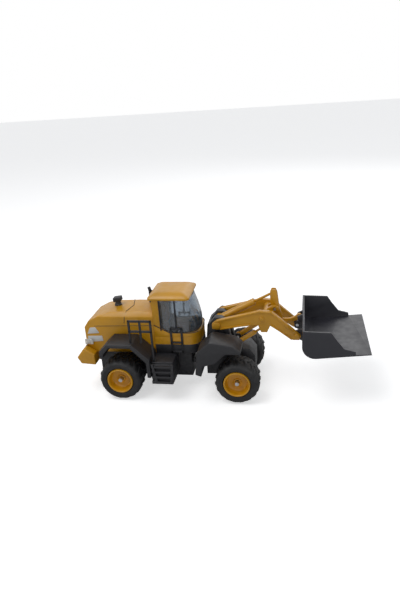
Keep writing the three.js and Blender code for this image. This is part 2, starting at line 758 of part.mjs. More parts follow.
addPair('lift_barrel', (side) => along(barrelGeometry(liftSpan * liftBarrelShare, liftBarrelRadius, liftRodRadius,
  liftEye, liftEyeWidth, pinRadius + gap, liftEye / 2), liftFootX, liftFootZ, liftAngle, side * liftPlane),
finishes.body);
addPair('lift_rod', (side) => along(rodGeometry(liftSpan * liftRodShare, liftSpan, liftRodRadius,
  liftEye - wall / 4, liftEyeWidth), liftFootX, liftFootZ, liftAngle, side * liftPlane), finishes.body);
add('lift_pin', rodAcross(liftFootX, liftFootZ, pinRadius, -frontFrameHalf, frontFrameHalf), finishes.steel);

// Bucket: a rolled shell closed by two cheeks, with lugs for the arms and the link.
const heelRadius = 12;
const backLean = 0.08;
const lugThickness = 3;
const linkLugRise = 4;
const linkLugZ = crankFootZ + linkLugRise;
const pinSetback = 5;
const pinRise = 11;
const bucketRear = bucketPinX + pinSetback;
const bucketLow = bucketPinZ - pinRise;
const cheekSetback = 14;
// Corners of a cheek's hollow front edge, as shares of the cheek's length and of the bucket's height.
const cheekShares = [[0, 0], [0, 0.15], [0.21, 0.28], [0.33, 0.6], [0.42, 0.88]];

function bucketCurve(offset) {
  const shape = [];
  const steps = 6;
  const top = bucketLow + bucketHeight;
  shape.push([bucketRear + offset + backLean * bucketHeight, top]);
  for (let step = 0; step <= steps; step += 1) {
    const angle = Math.PI + (step / steps) * (Math.PI / 2);
    shape.push([bucketRear + heelRadius + (heelRadius - offset) * Math.cos(angle),
      bucketLow + heelRadius + (heelRadius - offset) * Math.sin(angle)]);
  }
  return shape;
}

function bucket() {
  const tipX = bucketRear + floorLength;
  const outer = [...bucketCurve(0), [tipX, bucketLow]];
  const inner = [...bucketCurve(bucketWall), [tipX, bucketLow + bucketWall / 2]];
  const half = bucketWidth / 2;
  const shell = sideProfile([...outer, ...inner.reverse()], -half, half);
  const cheekFront = tipX - cheekSetback;
  const cheekOutline = [...bucketCurve(0), ...cheekShares.map(([setbackShare, riseShare]) => [
    cheekFront - setbackShare * (cheekFront - bucketRear), bucketLow + riseShare * bucketHeight])];
  const cheeks = [-1, 1].map((side) => sideProfileOn(side, cheekOutline, half - bucketWall, half));
  const armLugs = [-1, 1].map((side) => sideProfileOn(side, [
    [bucketRear + lugThickness, bucketPinZ - 3 * lugThickness], [bucketPinX - lugThickness, bucketPinZ - lugThickness],
    [bucketPinX - lugThickness, bucketPinZ + lugThickness], [bucketPinX, bucketPinZ + armEye],
    [bucketRear + bucketWall, bucketPinZ + 2 * lugThickness], [bucketRear + bucketWall, bucketPinZ - armEye],
  ], armInner - gap - lugThickness, armInner - gap));
  const linkLugs = [-1, 1].map((side) => sideProfileOn(side, [
    [bucketRear + lugThickness, linkLugZ - pinSetback], [bucketPinX + wall, linkLugZ - wall],
    [bucketPinX + wall, linkLugZ + wall], [bucketRear + lugThickness, linkLugZ + linkLugRise],
  ], earInner, earInner + earThickness));
  const bores = [
    rodAcross(bucketPinX, bucketPinZ, pinRadius + gap, -armOuter, armOuter),
  ];
  return cut(join(shell, ...cheeks, ...armLugs, ...linkLugs), ...bores);
}

const rollPivot = new THREE.Vector3(bucketPinX, 0, bucketPinZ);

function rolled(geometry) {
  const turned = geometry.clone();
  turned.translate(-rollPivot.x, 0, -rollPivot.z);
  turned.rotateY(-bucketRoll * Math.PI / 180);
  turned.translate(rollPivot.x, 0, rollPivot.z);
  return turned;
}

const rollAngle = bucketRoll * Math.PI / 180;
const linkEye = 3;
const linkWidth = crankThickness - 2 * crankCheek - 2 * gap;
const lugAhead = 3.4;
const lugAbove = linkLugZ - bucketPinZ;
const linkHeadX = bucketPinX + lugAhead * Math.cos(rollAngle) - lugAbove * Math.sin(rollAngle);
const linkHeadZ = bucketPinZ + lugAhead * Math.sin(rollAngle) + lugAbove * Math.cos(rollAngle);

function bucketLink() {
  const middleX = (crankFootX + linkHeadX) / 2;
  const middleZ = (crankFootZ + linkHeadZ) / 2 - wall;
  const bar = sideProfile([
    [crankFootX, crankFootZ - wall], [middleX, middleZ - wall], [linkHeadX, linkHeadZ - wall],
    [linkHeadX, linkHeadZ + wall], [middleX, middleZ + wall], [crankFootX, crankFootZ + wall],
  ], -linkWidth / 2, linkWidth / 2);
  const eyes = [[crankFootX, crankFootZ], [linkHeadX, linkHeadZ]].map(([x, z]) => rodAcross(x, z, linkEye,
    -linkWidth / 2, linkWidth / 2));
  return cut(join(bar, ...eyes), rodAcross(crankFootX, crankFootZ, pinRadius + gap, -linkWidth, linkWidth));
}

add('bucket_link', bucketLink(), finishes.body);
add('crank_foot_pin', rodAcross(crankFootX, crankFootZ, pinRadius, -crankThickness / 2 - wall / 2,
  crankThickness / 2 + wall / 2, 12), finishes.steel);

add('bucket', rolled(bucket()), finishes.trim);
addPair('bucket_pin', (side) => rodAcrossOn(side, bucketPinX, bucketPinZ, pinRadius,
  armInner - gap - lugThickness - wall / 2, armOuter + wall / 2, 16), finishes.steel);

// The origin lies on the floor, at the middle of the model's length.
const extent = new THREE.Box3().setFromObject(loader, true);
loader.position.set(-(extent.min.x + extent.max.x) / 2, 0, -extent.min.z);

export default loader;
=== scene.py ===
"""Looks of a toy front loader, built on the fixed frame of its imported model.

Lengths are written in millimetres, X is counted forward from the rear axle, Y to the
loader's left and Z up from the floor. Every mesh is scaled to metres as it is made.
"""

from __future__ import annotations

import logging
import math
from dataclasses import dataclass, field
from enum import Enum
from typing import Iterable, Sequence

import bmesh
import bpy
from mathutils import Matrix, Vector


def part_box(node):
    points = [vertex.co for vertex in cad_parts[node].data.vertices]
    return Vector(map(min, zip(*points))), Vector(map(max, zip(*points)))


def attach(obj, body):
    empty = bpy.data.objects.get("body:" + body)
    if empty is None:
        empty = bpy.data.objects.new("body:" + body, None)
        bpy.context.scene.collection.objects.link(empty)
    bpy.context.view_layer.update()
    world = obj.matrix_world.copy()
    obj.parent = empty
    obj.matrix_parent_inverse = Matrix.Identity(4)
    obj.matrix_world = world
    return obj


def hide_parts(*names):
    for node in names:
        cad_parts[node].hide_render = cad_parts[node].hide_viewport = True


MM = 0.001
LOG = logging.getLogger("front_loader")

Point = tuple[float, float]
Place = tuple[float, float, float]

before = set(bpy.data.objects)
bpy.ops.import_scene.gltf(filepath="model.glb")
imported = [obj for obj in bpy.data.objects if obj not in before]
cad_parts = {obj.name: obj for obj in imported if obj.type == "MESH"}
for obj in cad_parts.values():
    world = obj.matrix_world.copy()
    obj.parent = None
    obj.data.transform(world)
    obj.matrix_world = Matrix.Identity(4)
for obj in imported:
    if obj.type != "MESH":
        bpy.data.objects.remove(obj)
REAR_AXLE_X = sum(corner.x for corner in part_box("rear_axle")) / 2


class Side(Enum):
    """The two sides of the loader, with the sign of Y on each."""

    RIGHT = -1
    LEFT = 1

    @property
    def word(self) -> str:
        """The side's name as the nodes spell it."""
        return self.name.lower()


class Body(Enum):
    """The moving bodies that pieces ride on."""

    CHASSIS = "chassis"
    REAR_WHEELS = "rear_wheels"
    FRONT_HALF = "front_half"
    FRONT_WHEELS = "front_wheels"
    BOOM = "boom"
    BUCKET = "bucket"
    CRANK = "bell_crank"
    LINK = "bucket_link"
    TILT_BARREL = "tilt_barrel"
    TILT_ROD = "tilt_rod"
    LIFT_BARRELS = "lift_barrels"
    LIFT_RODS = "lift_rods"


# Finishes


class NodeSheet:
    """Adds nodes to one material and joins them up."""

    def __init__(self, name: str) -> None:
        """Starts an empty material.

        Args:
            name: The material's name.
        """
        self.material = bpy.data.materials.new(name)
        self.material.use_nodes = True
        self.tree = self.material.node_tree
        self.shader = self.tree.nodes["Principled BSDF"]
        self.output = self.tree.nodes["Material Output"]
        self.place = self.add("ShaderNodeTexCoord").outputs["Object"]

    def add(self, kind: str, **values: object) -> bpy.types.Node:
        """Adds a node and sets its properties.

        Args:
            kind: The node's type name.
            **values: Properties of the node.

        Returns:
            The new node.
        """
        node = self.tree.nodes.new(kind)
        for key, value in values.items():
            setattr(node, key, value)
        return node

    def join(self, source: bpy.types.NodeSocket, target: bpy.types.NodeSocket) -> None:
        """Links one socket to another."""
        self.tree.links.new(source, target)

    def noise(self, scale: float, detail: float = 2.0, stretch: Place = (1, 1, 1)) -> bpy.types.NodeSocket:
        """Adds a noise pattern on Object coordinates.

        Args:
            scale: Pattern scale per metre.
            detail: Octaves of detail.
            stretch: Scale of the pattern along each axis.

        Returns:
            The pattern's factor socket.
        """
        mapping = self.add("ShaderNodeMapping")
        mapping.inputs["Scale"].default_value = stretch
        self.join(self.place, mapping.inputs["Vector"])
        pattern = self.add("ShaderNodeTexNoise")
        pattern.inputs["Scale"].default_value = scale
        pattern.inputs["Detail"].default_value = detail
        self.join(mapping.outputs["Vector"], pattern.inputs["Vector"])
        return pattern.outputs["Fac"]

    def ramp(self, source: bpy.types.NodeSocket, stops: Sequence[tuple[float, tuple]]) -> bpy.types.NodeSocket:
        """Adds a colour ramp.

        Args:
            source: The factor that drives the ramp.
            stops: Positions and colours of the ramp.

        Returns:
            The ramp's colour socket.
        """
        node = self.add("ShaderNodeValToRGB")
        elements = node.color_ramp.elements
        while len(elements) < len(stops):
            elements.new(0.5)
        for element, (position, colour) in zip(elements, stops):
            element.position = position
            element.color = colour
        self.join(source, node.inputs["Fac"])
        return node.outputs["Color"]

    def mix(self, factor: bpy.types.NodeSocket, low: object, high: object) -> bpy.types.NodeSocket:
        """Mixes two colours.

        Args:
            factor: Socket of the share of the second colour.
            low: Socket or colour at 0.
            high: Socket or colour at 1.

        Returns:
            The mixed colour socket.
        """
        node = self.add("ShaderNodeMix", data_type="RGBA")
        self.join(factor, node.inputs["Factor"])
        for value, socket in ((low, node.inputs[6]), (high, node.inputs[7])):
            if isinstance(value, bpy.types.NodeSocket):
                self.join(value, socket)
            else:
                socket.default_value = value
        return node.outputs[2]

    def bump(self, height: bpy.types.NodeSocket, distance: float, strength: float) -> None:
        """Gives the shader a bump.

        Args:
            height: Socket of the height.
            distance: Depth of the bump in metres.
            strength: Share of the bump that shows.
        """
        node = self.add("ShaderNodeBump")
        node.inputs["Distance"].default_value = distance
        node.inputs["Strength"].default_value = strength
        self.join(height, node.inputs["Height"])
        self.join(node.outputs["Normal"], self.shader.inputs["Normal"])


def shade(colour: Place, factor: float) -> tuple[float, float, float, float]:
    """Scales a colour's brightness and adds a full alpha."""
    return (*(min(1.0, channel * factor) for channel in colour), 1.0)


@dataclass(frozen=True)
class MouldedPlastic:
    """Injection-moulded plastic with soft mottling, fine grain, and convex edges lightened for rubbed wear and a
    painted highlight.

    Attributes:
        name: The material's name.
        colour: Base colour, linear.
        roughness: Mean roughness.
        grain: Depth of the grain in metres.
        rub: Brightness of the lightened edges, for rubbed wear and a painted highlight, as a multiple of the colour.
        coat: Weight of the gloss coat.
    """

    name: str
    colour: Place
    roughness: float = 0.38
    grain: float = 0.00002
    rub: float = 1.25
    coat: float = 0.15

    def material(self) -> bpy.types.Material:
        """Builds the material.

        Returns:
            The new material.
        """
        sheet = NodeSheet(self.name)
        cloudy = sheet.noise(38.0, 3.0)
        base = sheet.ramp(cloudy, [(0.32, shade(self.colour, 0.9)), (0.7, shade(self.colour, 1.07))])
        geometry = sheet.add("ShaderNodeNewGeometry")
        # Convex edges are lightened in patches: partly rubbed wear, partly a painted highlight along the rims.
        edge = sheet.ramp(geometry.outputs["Pointiness"], [(0.52, (0, 0, 0, 1)), (0.62, (1, 1, 1, 1))])
        patchy = sheet.ramp(sheet.noise(420.0, 2.0), [(0.42, (0, 0, 0, 1)), (0.62, (0.7, 0.7, 0.7, 1))])
        wear_and_highlight = sheet.add("ShaderNodeMath", operation="MULTIPLY")
        sheet.join(edge, wear_and_highlight.inputs[0])
        sheet.join(patchy, wear_and_highlight.inputs[1])
        pale = shade(tuple(0.012 + channel * self.rub for channel in self.colour), 1.0)
        sheet.join(sheet.mix(wear_and_highlight.outputs["Value"], base, pale), sheet.shader.inputs["Base Color"])
        low, high = self.roughness - 0.06, self.roughness + 0.1
        rough = sheet.ramp(sheet.noise(160.0, 4.0), [(0.3, (low, low, low, 1)), (0.7, (high, high, high, 1))])
        sheet.join(rough, sheet.shader.inputs["Roughness"])
        sheet.bump(sheet.noise(2600.0, 2.0), self.grain, 0.35)
        sheet.shader.inputs["Coat Weight"].default_value = self.coat
        sheet.shader.inputs["Coat Roughness"].default_value = 0.18
        return sheet.material


@dataclass(frozen=True)
class SoftRubber:
    """Matt rubber with dust in its pores.

    Attributes:
        name: The material's name.
        colour: Base colour, linear.
        dust: Colour of the dust, linear.
    """

    name: str
    colour: Place
    dust: Place

    def material(self) -> bpy.types.Material:
        """Builds the material.

        Returns:
            The new material.
        """
        sheet = NodeSheet(self.name)
        dusty = sheet.ramp(sheet.noise(75.0, 5.0), [(0.42, shade(self.colour, 1.0)), (0.78, shade(self.dust, 1.0))])
        sheet.join(dusty, sheet.shader.inputs["Base Color"])
        rough = sheet.ramp(sheet.noise(210.0), [(0.3, (0.58, 0.58, 0.58, 1)), (0.7, (0.78, 0.78, 0.78, 1))])
        sheet.join(rough, sheet.shader.inputs["Roughness"])
        sheet.bump(sheet.noise(1500.0, 3.0), 0.00004, 0.5)
        return sheet.material


@dataclass(frozen=True)
class TurnedSteel:
    """Bright steel with fine turning marks.

    Attributes:
        name: The material's name.
        colour: Base colour, linear.
    """

    name: str
    colour: Place

    def material(self) -> bpy.types.Material:
        """Builds the material.

        Returns:
            The new material.
        """
        sheet = NodeSheet(self.name)
        marks = sheet.noise(900.0, 3.0, (1, 6, 1))
        sheet.join(sheet.ramp(marks, [(0.3, shade(self.colour, 0.82)), (0.7, shade(self.colour, 1.1))]),
                   sheet.shader.inputs["Base Color"])
        sheet.join(sheet.ramp(marks, [(0.3, (0.24, 0.24, 0.24, 1)), (0.7, (0.4, 0.4, 0.4, 1))]),
                   sheet.shader.inputs["Roughness"])
        sheet.shader.inputs["Metallic"].default_value = 1.0
        sheet.bump(marks, 0.00001, 0.3)
        return sheet.material


@dataclass(frozen=True)
class ClearPlastic:
    """Clear moulded glazing with a slight tint and fine scuffs.

    Attributes:
        name: The material's name.
        tint: Colour of what passes through, linear.
        clear: Share of the light that passes.
    """

    name: str
    tint: Place
    clear: float

    def material(self) -> bpy.types.Material:
        """Builds the material.

        Returns:
            The new material.
        """
        sheet = NodeSheet(self.name)
        scuffs = sheet.noise(140.0, 6.0, (1, 1, 3))
        sheet.join(sheet.ramp(scuffs, [(0.35, shade(self.tint, 0.85)), (0.7, shade(self.tint, 1.1))]),
                   sheet.shader.inputs["Base Color"])
        sheet.join(sheet.ramp(scuffs, [(0.45, (0.04, 0.04, 0.04, 1)), (0.75, (0.16, 0.16, 0.16, 1))]),
                   sheet.shader.inputs["Roughness"])
        sheet.shader.inputs["IOR"].default_value = 1.46
        sheet.shader.inputs["Transmission Weight"].default_value = self.clear
        sheet.shader.inputs["Coat Weight"].default_value = 0.4
        sheet.bump(sheet.noise(60.0, 2.0), 0.0001, 0.12)
        return sheet.material


class Finish(Enum):
    """The finishes of the loader, each with the record's slot that it belongs to."""

    # The fifth number lightens convex edges for rubbed wear and a painted edge highlight; the bucket's 2.4 paints the
    # shine along its rims.
    YELLOW = (MouldedPlastic("yellow_plastic", (0.6, 0.285, 0.002), 0.36, 0.00002, 1.12), "body")
    BLACK = (MouldedPlastic("black_plastic", (0.0085, 0.0085, 0.011), 0.5, 0.00004, 1.6, 0.02), "trim")
    BUCKET = (MouldedPlastic("bucket_plastic", (0.014, 0.014, 0.02), 0.42, 0.00003, 2.4, 0.05), "trim")
    INSIDE = (MouldedPlastic("cab_inner_plastic", (0.012, 0.013, 0.018), 0.55, 0.00004, 1.6, 0.0), "trim")
    PALE = (MouldedPlastic("pale_panel", (0.62, 0.62, 0.6), 0.42, 0.00001, 1.1, 0.1), "lamp")
    RUBBER = (SoftRubber("tyre_rubber", (0.0075, 0.0075, 0.009), (0.02, 0.02, 0.02)), "rubber")
    STEEL = (TurnedSteel("pin_steel", (0.52, 0.52, 0.53)), "steel")
    GLASS = (ClearPlastic("cab_glazing", (0.42, 0.47, 0.52), 0.88), "glass")
    LENS = (ClearPlastic("lamp_lens", (0.85, 0.83, 0.78), 0.45), "lamp")

    @property
    def material(self) -> bpy.types.Material:
        """The finish's material, built at its first use."""
        recipe = self.value[0]
        return bpy.data.materials.get(recipe.name) or recipe.material()

    @property
    def slot(self) -> str:
        """The record's material slot."""
        return self.value[1]


# Mesh making


def rounded(points: Sequence[Point], radius: float, steps: int = 4) -> list[Point]:
    """Rounds the corners of a closed outline.

    Args:
        points: Corners of the outline.
        radius: How far each round reaches from its corner.
        steps: Segments in each round.

    Returns:
        The outline with its corners rounded.
    """
    result: list[Point] = []
    for index, corner in enumerate(points):
        here = Vector(corner)
        before = Vector(points[index - 1]) - here
        after = Vector(points[(index + 1) % len(points)]) - here
        reach = min(radius, before.length * 0.45, after.length * 0.45)
        start = here + before.normalized() * reach
        end = here + after.normalized() * reach
        for step in range(steps + 1):
            share = step / steps
            point = start * (1 - share) ** 2 + here * 2 * share * (1 - share) + end * share ** 2
            result.append((point.x, point.y))
    return result


def spot(x: float, y: float, z: float) -> Vector:
    """Turns a place in millimetres from the rear axle into metres in the frame."""
    return Vector((x * MM + REAR_AXLE_X, y * MM, z * MM))


class Form:
    """A mesh that grows shape by shape and ends as one piece."""

    def __init__(self) -> None:
        """Starts an empty form."""
        self.mesh = bmesh.new()

    def loft(self, rings: Sequence[Sequence[Place]], closed_ends: bool = True) -> list[bmesh.types.BMFace]:
        """Joins rings of equal length into a skin.

        Args:
            rings: Closed rings of points in millimetres.
            closed_ends: Whether the first and last rings are capped.

        Returns:
            The two end faces, or no faces where the ends are open.
        """
        rows = [[self.mesh.verts.new(spot(*point)) for point in ring] for ring in rings]
        count = len(rows[0])
        for lower, upper in zip(rows, rows[1:]):
            for index in range(count):
                following = (index + 1) % count
                self.mesh.faces.new((lower[index], lower[following], upper[following], upper[index]))
        if not closed_ends:
            return []
        return [self.mesh.faces.new(rows[0][::-1]), self.mesh.faces.new(rows[-1])]

    def prism(self, outline: Sequence[Point], low_y: float, high_y: float, inset: float = 0.0,
              depth: float = 0.0) -> "Form":
        """Extrudes an X and Z outline across Y, with an optional sunk panel on both faces.

        Args:
            outline: The closed outline in millimetres.
            low_y: Lowest Y.
            high_y: Highest Y.
            inset: Width of the raised margin round the panel.
            depth: How far the panel is sunk.

        Returns:
            This form.
        """
        rings = [[(x, y, z) for x, z in outline] for y in (low_y, high_y)]
        ends = self.loft(rings)
        if depth:
            bmesh.ops.recalc_face_normals(self.mesh, faces=self.mesh.faces[:])
            bmesh.ops.inset_individual(self.mesh, faces=ends, thickness=inset * MM, depth=-depth * MM,
                                       use_even_offset=True)
        return self

    def block(self, low: Place, high: Place) -> "Form":
        """Adds a box between two corners and returns this form."""
        return self.prism([(low[0], low[2]), (high[0], low[2]), (high[0], high[2]), (low[0], high[2])],
                          low[1], high[1])

    def lathe(self, profile: Sequence[Point], x: float, z: float, steps: int = 48) -> "Form":
        """Turns a closed profile round an axis along Y.

        Args:
            profile: Radius and Y of each point, round a closed section.
            x: The axis's X.
            z: The axis's Z.
            steps: Segments round the axis.

        Returns:
            This form.
        """
        rings = []
        for step in range(steps):
            angle = 2 * math.pi * step / steps
            rings.append([(x + radius * math.cos(angle), y, z + radius * math.sin(angle))
                          for radius, y in profile])
        self.loft([*rings, rings[0]], closed_ends=False)
        return self

    def disc(self, x: float, z: float, radius: float, low_y: float, high_y: float, steps: int = 28) -> "Form":
        """Adds a solid disc whose axis runs along Y and returns this form."""
        outline = [(x + radius * math.cos(2 * math.pi * step / steps),
                    z + radius * math.sin(2 * math.pi * step / steps)) for step in range(steps)]
        return self.prism(outline, low_y, high_y)

    def tube(self, path: Sequence[Place], radius: float | Sequence[float], sides: int = 12) -> "Form":
        """Adds a round bar along a path.

        Args:
            path: Points of the bar's middle line in millimetres.
            radius: The bar's radius, or one at each point.
            sides: Sides of the section.

        Returns:
            This form.
        """
        points = [Vector(point) for point in path]
        radii = [radius] * len(points) if isinstance(radius, (int, float)) else list(radius)
        rings = []
        for index, point in enumerate(points):
            before = points[max(index - 1, 0)]
            after = points[min(index + 1, len(points) - 1)]
            ahead = (after - before).normalized()
            guide = Vector((0, 1, 0)) if abs(ahead.y) < 0.9 else Vector((1, 0, 0))
            across = ahead.cross(guide).normalized()
            up = across.cross(ahead)
            rings.append([tuple(point + radii[index] * (across * math.cos(2 * math.pi * side / sides)
                                                        + up * math.sin(2 * math.pi * side / sides)))
                          for side in range(sides)])
        self.loft(rings)
        return self

    def node(self, name: str) -> "Form":
        """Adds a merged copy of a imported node's solid and returns this form."""
        copy = bmesh.new()
        copy.from_mesh(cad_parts[name].data)
        bmesh.ops.remove_doubles(copy, verts=copy.verts[:], dist=1e-6)
        bmesh.ops.dissolve_limit(copy, angle_limit=math.radians(1.0), verts=copy.verts[:], edges=copy.edges[:])
        holder = bpy.data.meshes.new(name + "_copy")
        copy.to_mesh(holder)
        copy.free()
        self.mesh.from_mesh(holder)
        bpy.data.meshes.remove(holder)
        return self

    def turned(self, angle: float, x: float, z: float) -> "Form":
        """Turns the whole form about an axis along Y.

        Args:
            angle: Degrees, positive lifting the front.
            x: The axis's X in millimetres.
            z: The axis's Z in millimetres.

        Returns:
            This form.
        """
        bmesh.ops.rotate(self.mesh, cent=spot(x, 0, z), matrix=Matrix.Rotation(-math.radians(angle), 3, "Y"),
                         verts=self.mesh.verts[:])
        return self

    def piece(self, name: str, finish: Finish, body: Body, stands_for: Iterable[str] = (),
              bevel: float = 0.35, smooth: float = 38.0, segments: int = 2) -> bpy.types.Object:
        """Ends the form as a piece with soft edges.

        Args:
            name: The piece's name.
            finish: Its finish.
            body: The body that it rides on.
            stands_for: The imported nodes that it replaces.
            bevel: Width of the edge rounds in millimetres, 0 for none.
            smooth: Angle in degrees under which edges shade smooth.
            segments: Segments in each edge round.

        Returns:
            The piece.
        """
        bmesh.ops.recalc_face_normals(self.mesh, faces=self.mesh.faces[:])
        data = bpy.data.meshes.new(name)
        self.mesh.to_mesh(data)
        self.mesh.free()
        thing = bpy.data.objects.new(name, data)
        bpy.context.scene.collection.objects.link(thing)
        if bevel:
            rounder = thing.modifiers.new("edges", "BEVEL")
            rounder.width = bevel * MM
            rounder.segments = segments
            rounder.limit_method = "ANGLE"
            rounder.angle_limit = math.radians(32.0)
        return settle(thing, finish, body, stands_for, smooth)


def settle(thing: bpy.types.Object, finish: Finish, body: Body, stands_for: Iterable[str] = (),
           smooth: float = 38.0) -> bpy.types.Object:
    """Applies an object's modifiers and joins it to the loader.

    Args:
        thing: The object.
        finish: Its finish.
        body: The body that it rides on.
        stands_for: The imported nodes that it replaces.
        smooth: Angle in degrees under which edges shade smooth.

    Returns:
        The object, with a plain mesh.
    """
    bpy.context.view_layer.update()
    graph = bpy.context.evaluated_depsgraph_get()
    data = bpy.data.meshes.new_from_object(thing.evaluated_get(graph))
    thing.modifiers.clear()
    thing.data = data
    data.name = thing.name
    data.materials.clear()
    data.materials.append(finish.material)
    data.polygons.foreach_set("material_index", [0] * len(data.polygons))
    data.polygons.foreach_set("use_smooth", [True] * len(data.polygons))
    data.set_sharp_from_angle(angle=math.radians(smooth))
    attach(thing, body.value)
    finish.slot
    names = list(stands_for)
    if names:
        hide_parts(*names)
    LOG.info("%s: %d faces on %s", thing.name, len(data.polygons), body.value)
    return thing


# Repeats


def open_tree(name: str, length: str) -> tuple[bpy.types.NodeTree, list, bpy.types.Node, bpy.types.Node]:
    """Starts a repeating tree with inputs for the count, one length and the finish.

    Args:
        name: The tree's name.
        length: The name of its vector input.

    Returns:
        The tree, its input sockets, and its input and output nodes.
    """
    tree = bpy.data.node_groups.new(name, "GeometryNodeTree")
    kinds = {"Geometry": "Geometry", "Count": "Int", length: "Vector", "Finish": "Material"}
    sockets = [tree.interface.new_socket(label, in_out="INPUT", socket_type=f"NodeSocket{kind}")
               for label, kind in kinds.items()]
    tree.interface.new_socket("Geometry", in_out="OUTPUT", socket_type="NodeSocketGeometry")
    return tree, sockets, tree.nodes.new("NodeGroupInput"), tree.nodes.new("NodeGroupOutput")


def radial_copies(form: Form, name: str, finish: Finish, body: Body, count: int, axle: Place) -> bpy.types.Object:
    """Repeats a form round an axis along Y with Geometry Nodes.

    Args:
        form: The form to repeat.
        name: The piece's name.
        finish: Its finish.
        body: The body that it rides on.
        count: How many copies stand round the axis.
        axle: A point on the axis, in millimetres.

    Returns:
        The piece.
    """
    tree, sockets, inputs, output = open_tree(name + "_round", "Axle")
    add, join = tree.nodes.new, tree.links.new
    back, scale = add("GeometryNodeTransform"), add("ShaderNodeVectorMath")
    scale.operation = "SCALE"
    scale.inputs["Scale"].default_value = -1.0
    join(inputs.outputs["Axle"], scale.inputs[0])
    join(inputs.outputs["Geometry"], back.inputs["Geometry"])
    join(scale.outputs["Vector"], back.inputs["Translation"])
    line = add("GeometryNodeMeshLine")
    join(inputs.outputs["Count"], line.inputs["Count"])
    join(inputs.outputs["Axle"], line.inputs["Start Location"])
    line.inputs["Offset"].default_value = (0, 0, 0)
    turn, share, order = add("ShaderNodeMath"), add("ShaderNodeMath"), add("GeometryNodeInputIndex")
    turn.operation, share.operation = "MULTIPLY", "DIVIDE"
    join(order.outputs["Index"], turn.inputs[0])
    turn.inputs[1].default_value = 2 * math.pi
    join(turn.outputs[0], share.inputs[0])
    join(inputs.outputs["Count"], share.inputs[1])
    axis, copies = add("ShaderNodeCombineXYZ"), add("GeometryNodeInstanceOnPoints")
    join(share.outputs[0], axis.inputs["Y"])
    join(line.outputs["Mesh"], copies.inputs["Points"])
    join(back.outputs["Geometry"], copies.inputs["Instance"])
    join(axis.outputs["Vector"], copies.inputs["Rotation"])
    close_tree(tree, copies.outputs["Instances"], inputs, output)
    values = {"Count": count, "Axle": tuple(spot(*axle)), "Finish": finish.material}
    return repeat(form, name, finish, body, tree, sockets, values)


def row_copies(form: Form, name: str, finish: Finish, body: Body, count: int, step: Place) -> bpy.types.Object:
    """Repeats a form in a straight row with Geometry Nodes.

    Args:
        form: The form to repeat.
        name: The piece's name.
        finish: Its finish.
        body: The body that it rides on.
        count: How many copies stand in the row.
        step: The way from one copy to the next, in millimetres.

    Returns:
        The piece.
    """
    tree, sockets, inputs, output = open_tree(name + "_row", "Step")
    add, join = tree.nodes.new, tree.links.new
    line, copies = add("GeometryNodeMeshLine"), add("GeometryNodeInstanceOnPoints")
    join(inputs.outputs["Count"], line.inputs["Count"])
    join(inputs.outputs["Step"], line.inputs["Offset"])
    join(line.outputs["Mesh"], copies.inputs["Points"])
    join(inputs.outputs["Geometry"], copies.inputs["Instance"])
    close_tree(tree, copies.outputs["Instances"], inputs, output)
    values = {"Count": count, "Step": tuple(MM * length for length in step), "Finish": finish.material}
    return repeat(form, name, finish, body, tree, sockets, values)


def close_tree(tree: bpy.types.NodeTree, instances: bpy.types.NodeSocket, inputs: bpy.types.Node,
               output: bpy.types.Node) -> None:
    """Ends a tree in Realize Instances and Set Material."""
    real, dress = tree.nodes.new("GeometryNodeRealizeInstances"), tree.nodes.new("GeometryNodeSetMaterial")
    tree.links.new(instances, real.inputs["Geometry"])
    tree.links.new(real.outputs["Geometry"], dress.inputs["Geometry"])
    tree.links.new(inputs.outputs["Finish"], dress.inputs["Material"])
    tree.links.new(dress.outputs["Geometry"], output.inputs[0])


def repeat(form: Form, name: str, finish: Finish, body: Body, tree: bpy.types.NodeTree,
           sockets: Sequence[bpy.types.NodeTreeInterfaceSocket], values: dict[str, object]) -> bpy.types.Object:
    """Runs a repeating tree on a form and ends it as a piece.

    Args:
        form: The form to repeat.
        name: The piece's name.
        finish: Its finish.
        body: The body that it rides on.
        tree: The tree.
        sockets: The tree's input sockets.
        values: A value for each named input.

    Returns:
        The piece.
    """
    bmesh.ops.recalc_face_normals(form.mesh, faces=form.mesh.faces[:])
    data = bpy.data.meshes.new(name)
    form.mesh.to_mesh(data)
    form.mesh.free()
    thing = bpy.data.objects.new(name, data)
    bpy.context.scene.collection.objects.link(thing)
    rounder = thing.modifiers.new("edges", "BEVEL")
    rounder.width = 0.25 * MM
    rounder.segments = 2
    rounder.limit_method = "ANGLE"
    copier = thing.modifiers.new("copies", "NODES")
    copier.node_group = tree
    for socket in sockets:
        if socket.name in values:
            copier[socket.identifier] = values[socket.name]
    return settle(thing, finish, body)


# Sub-assemblies


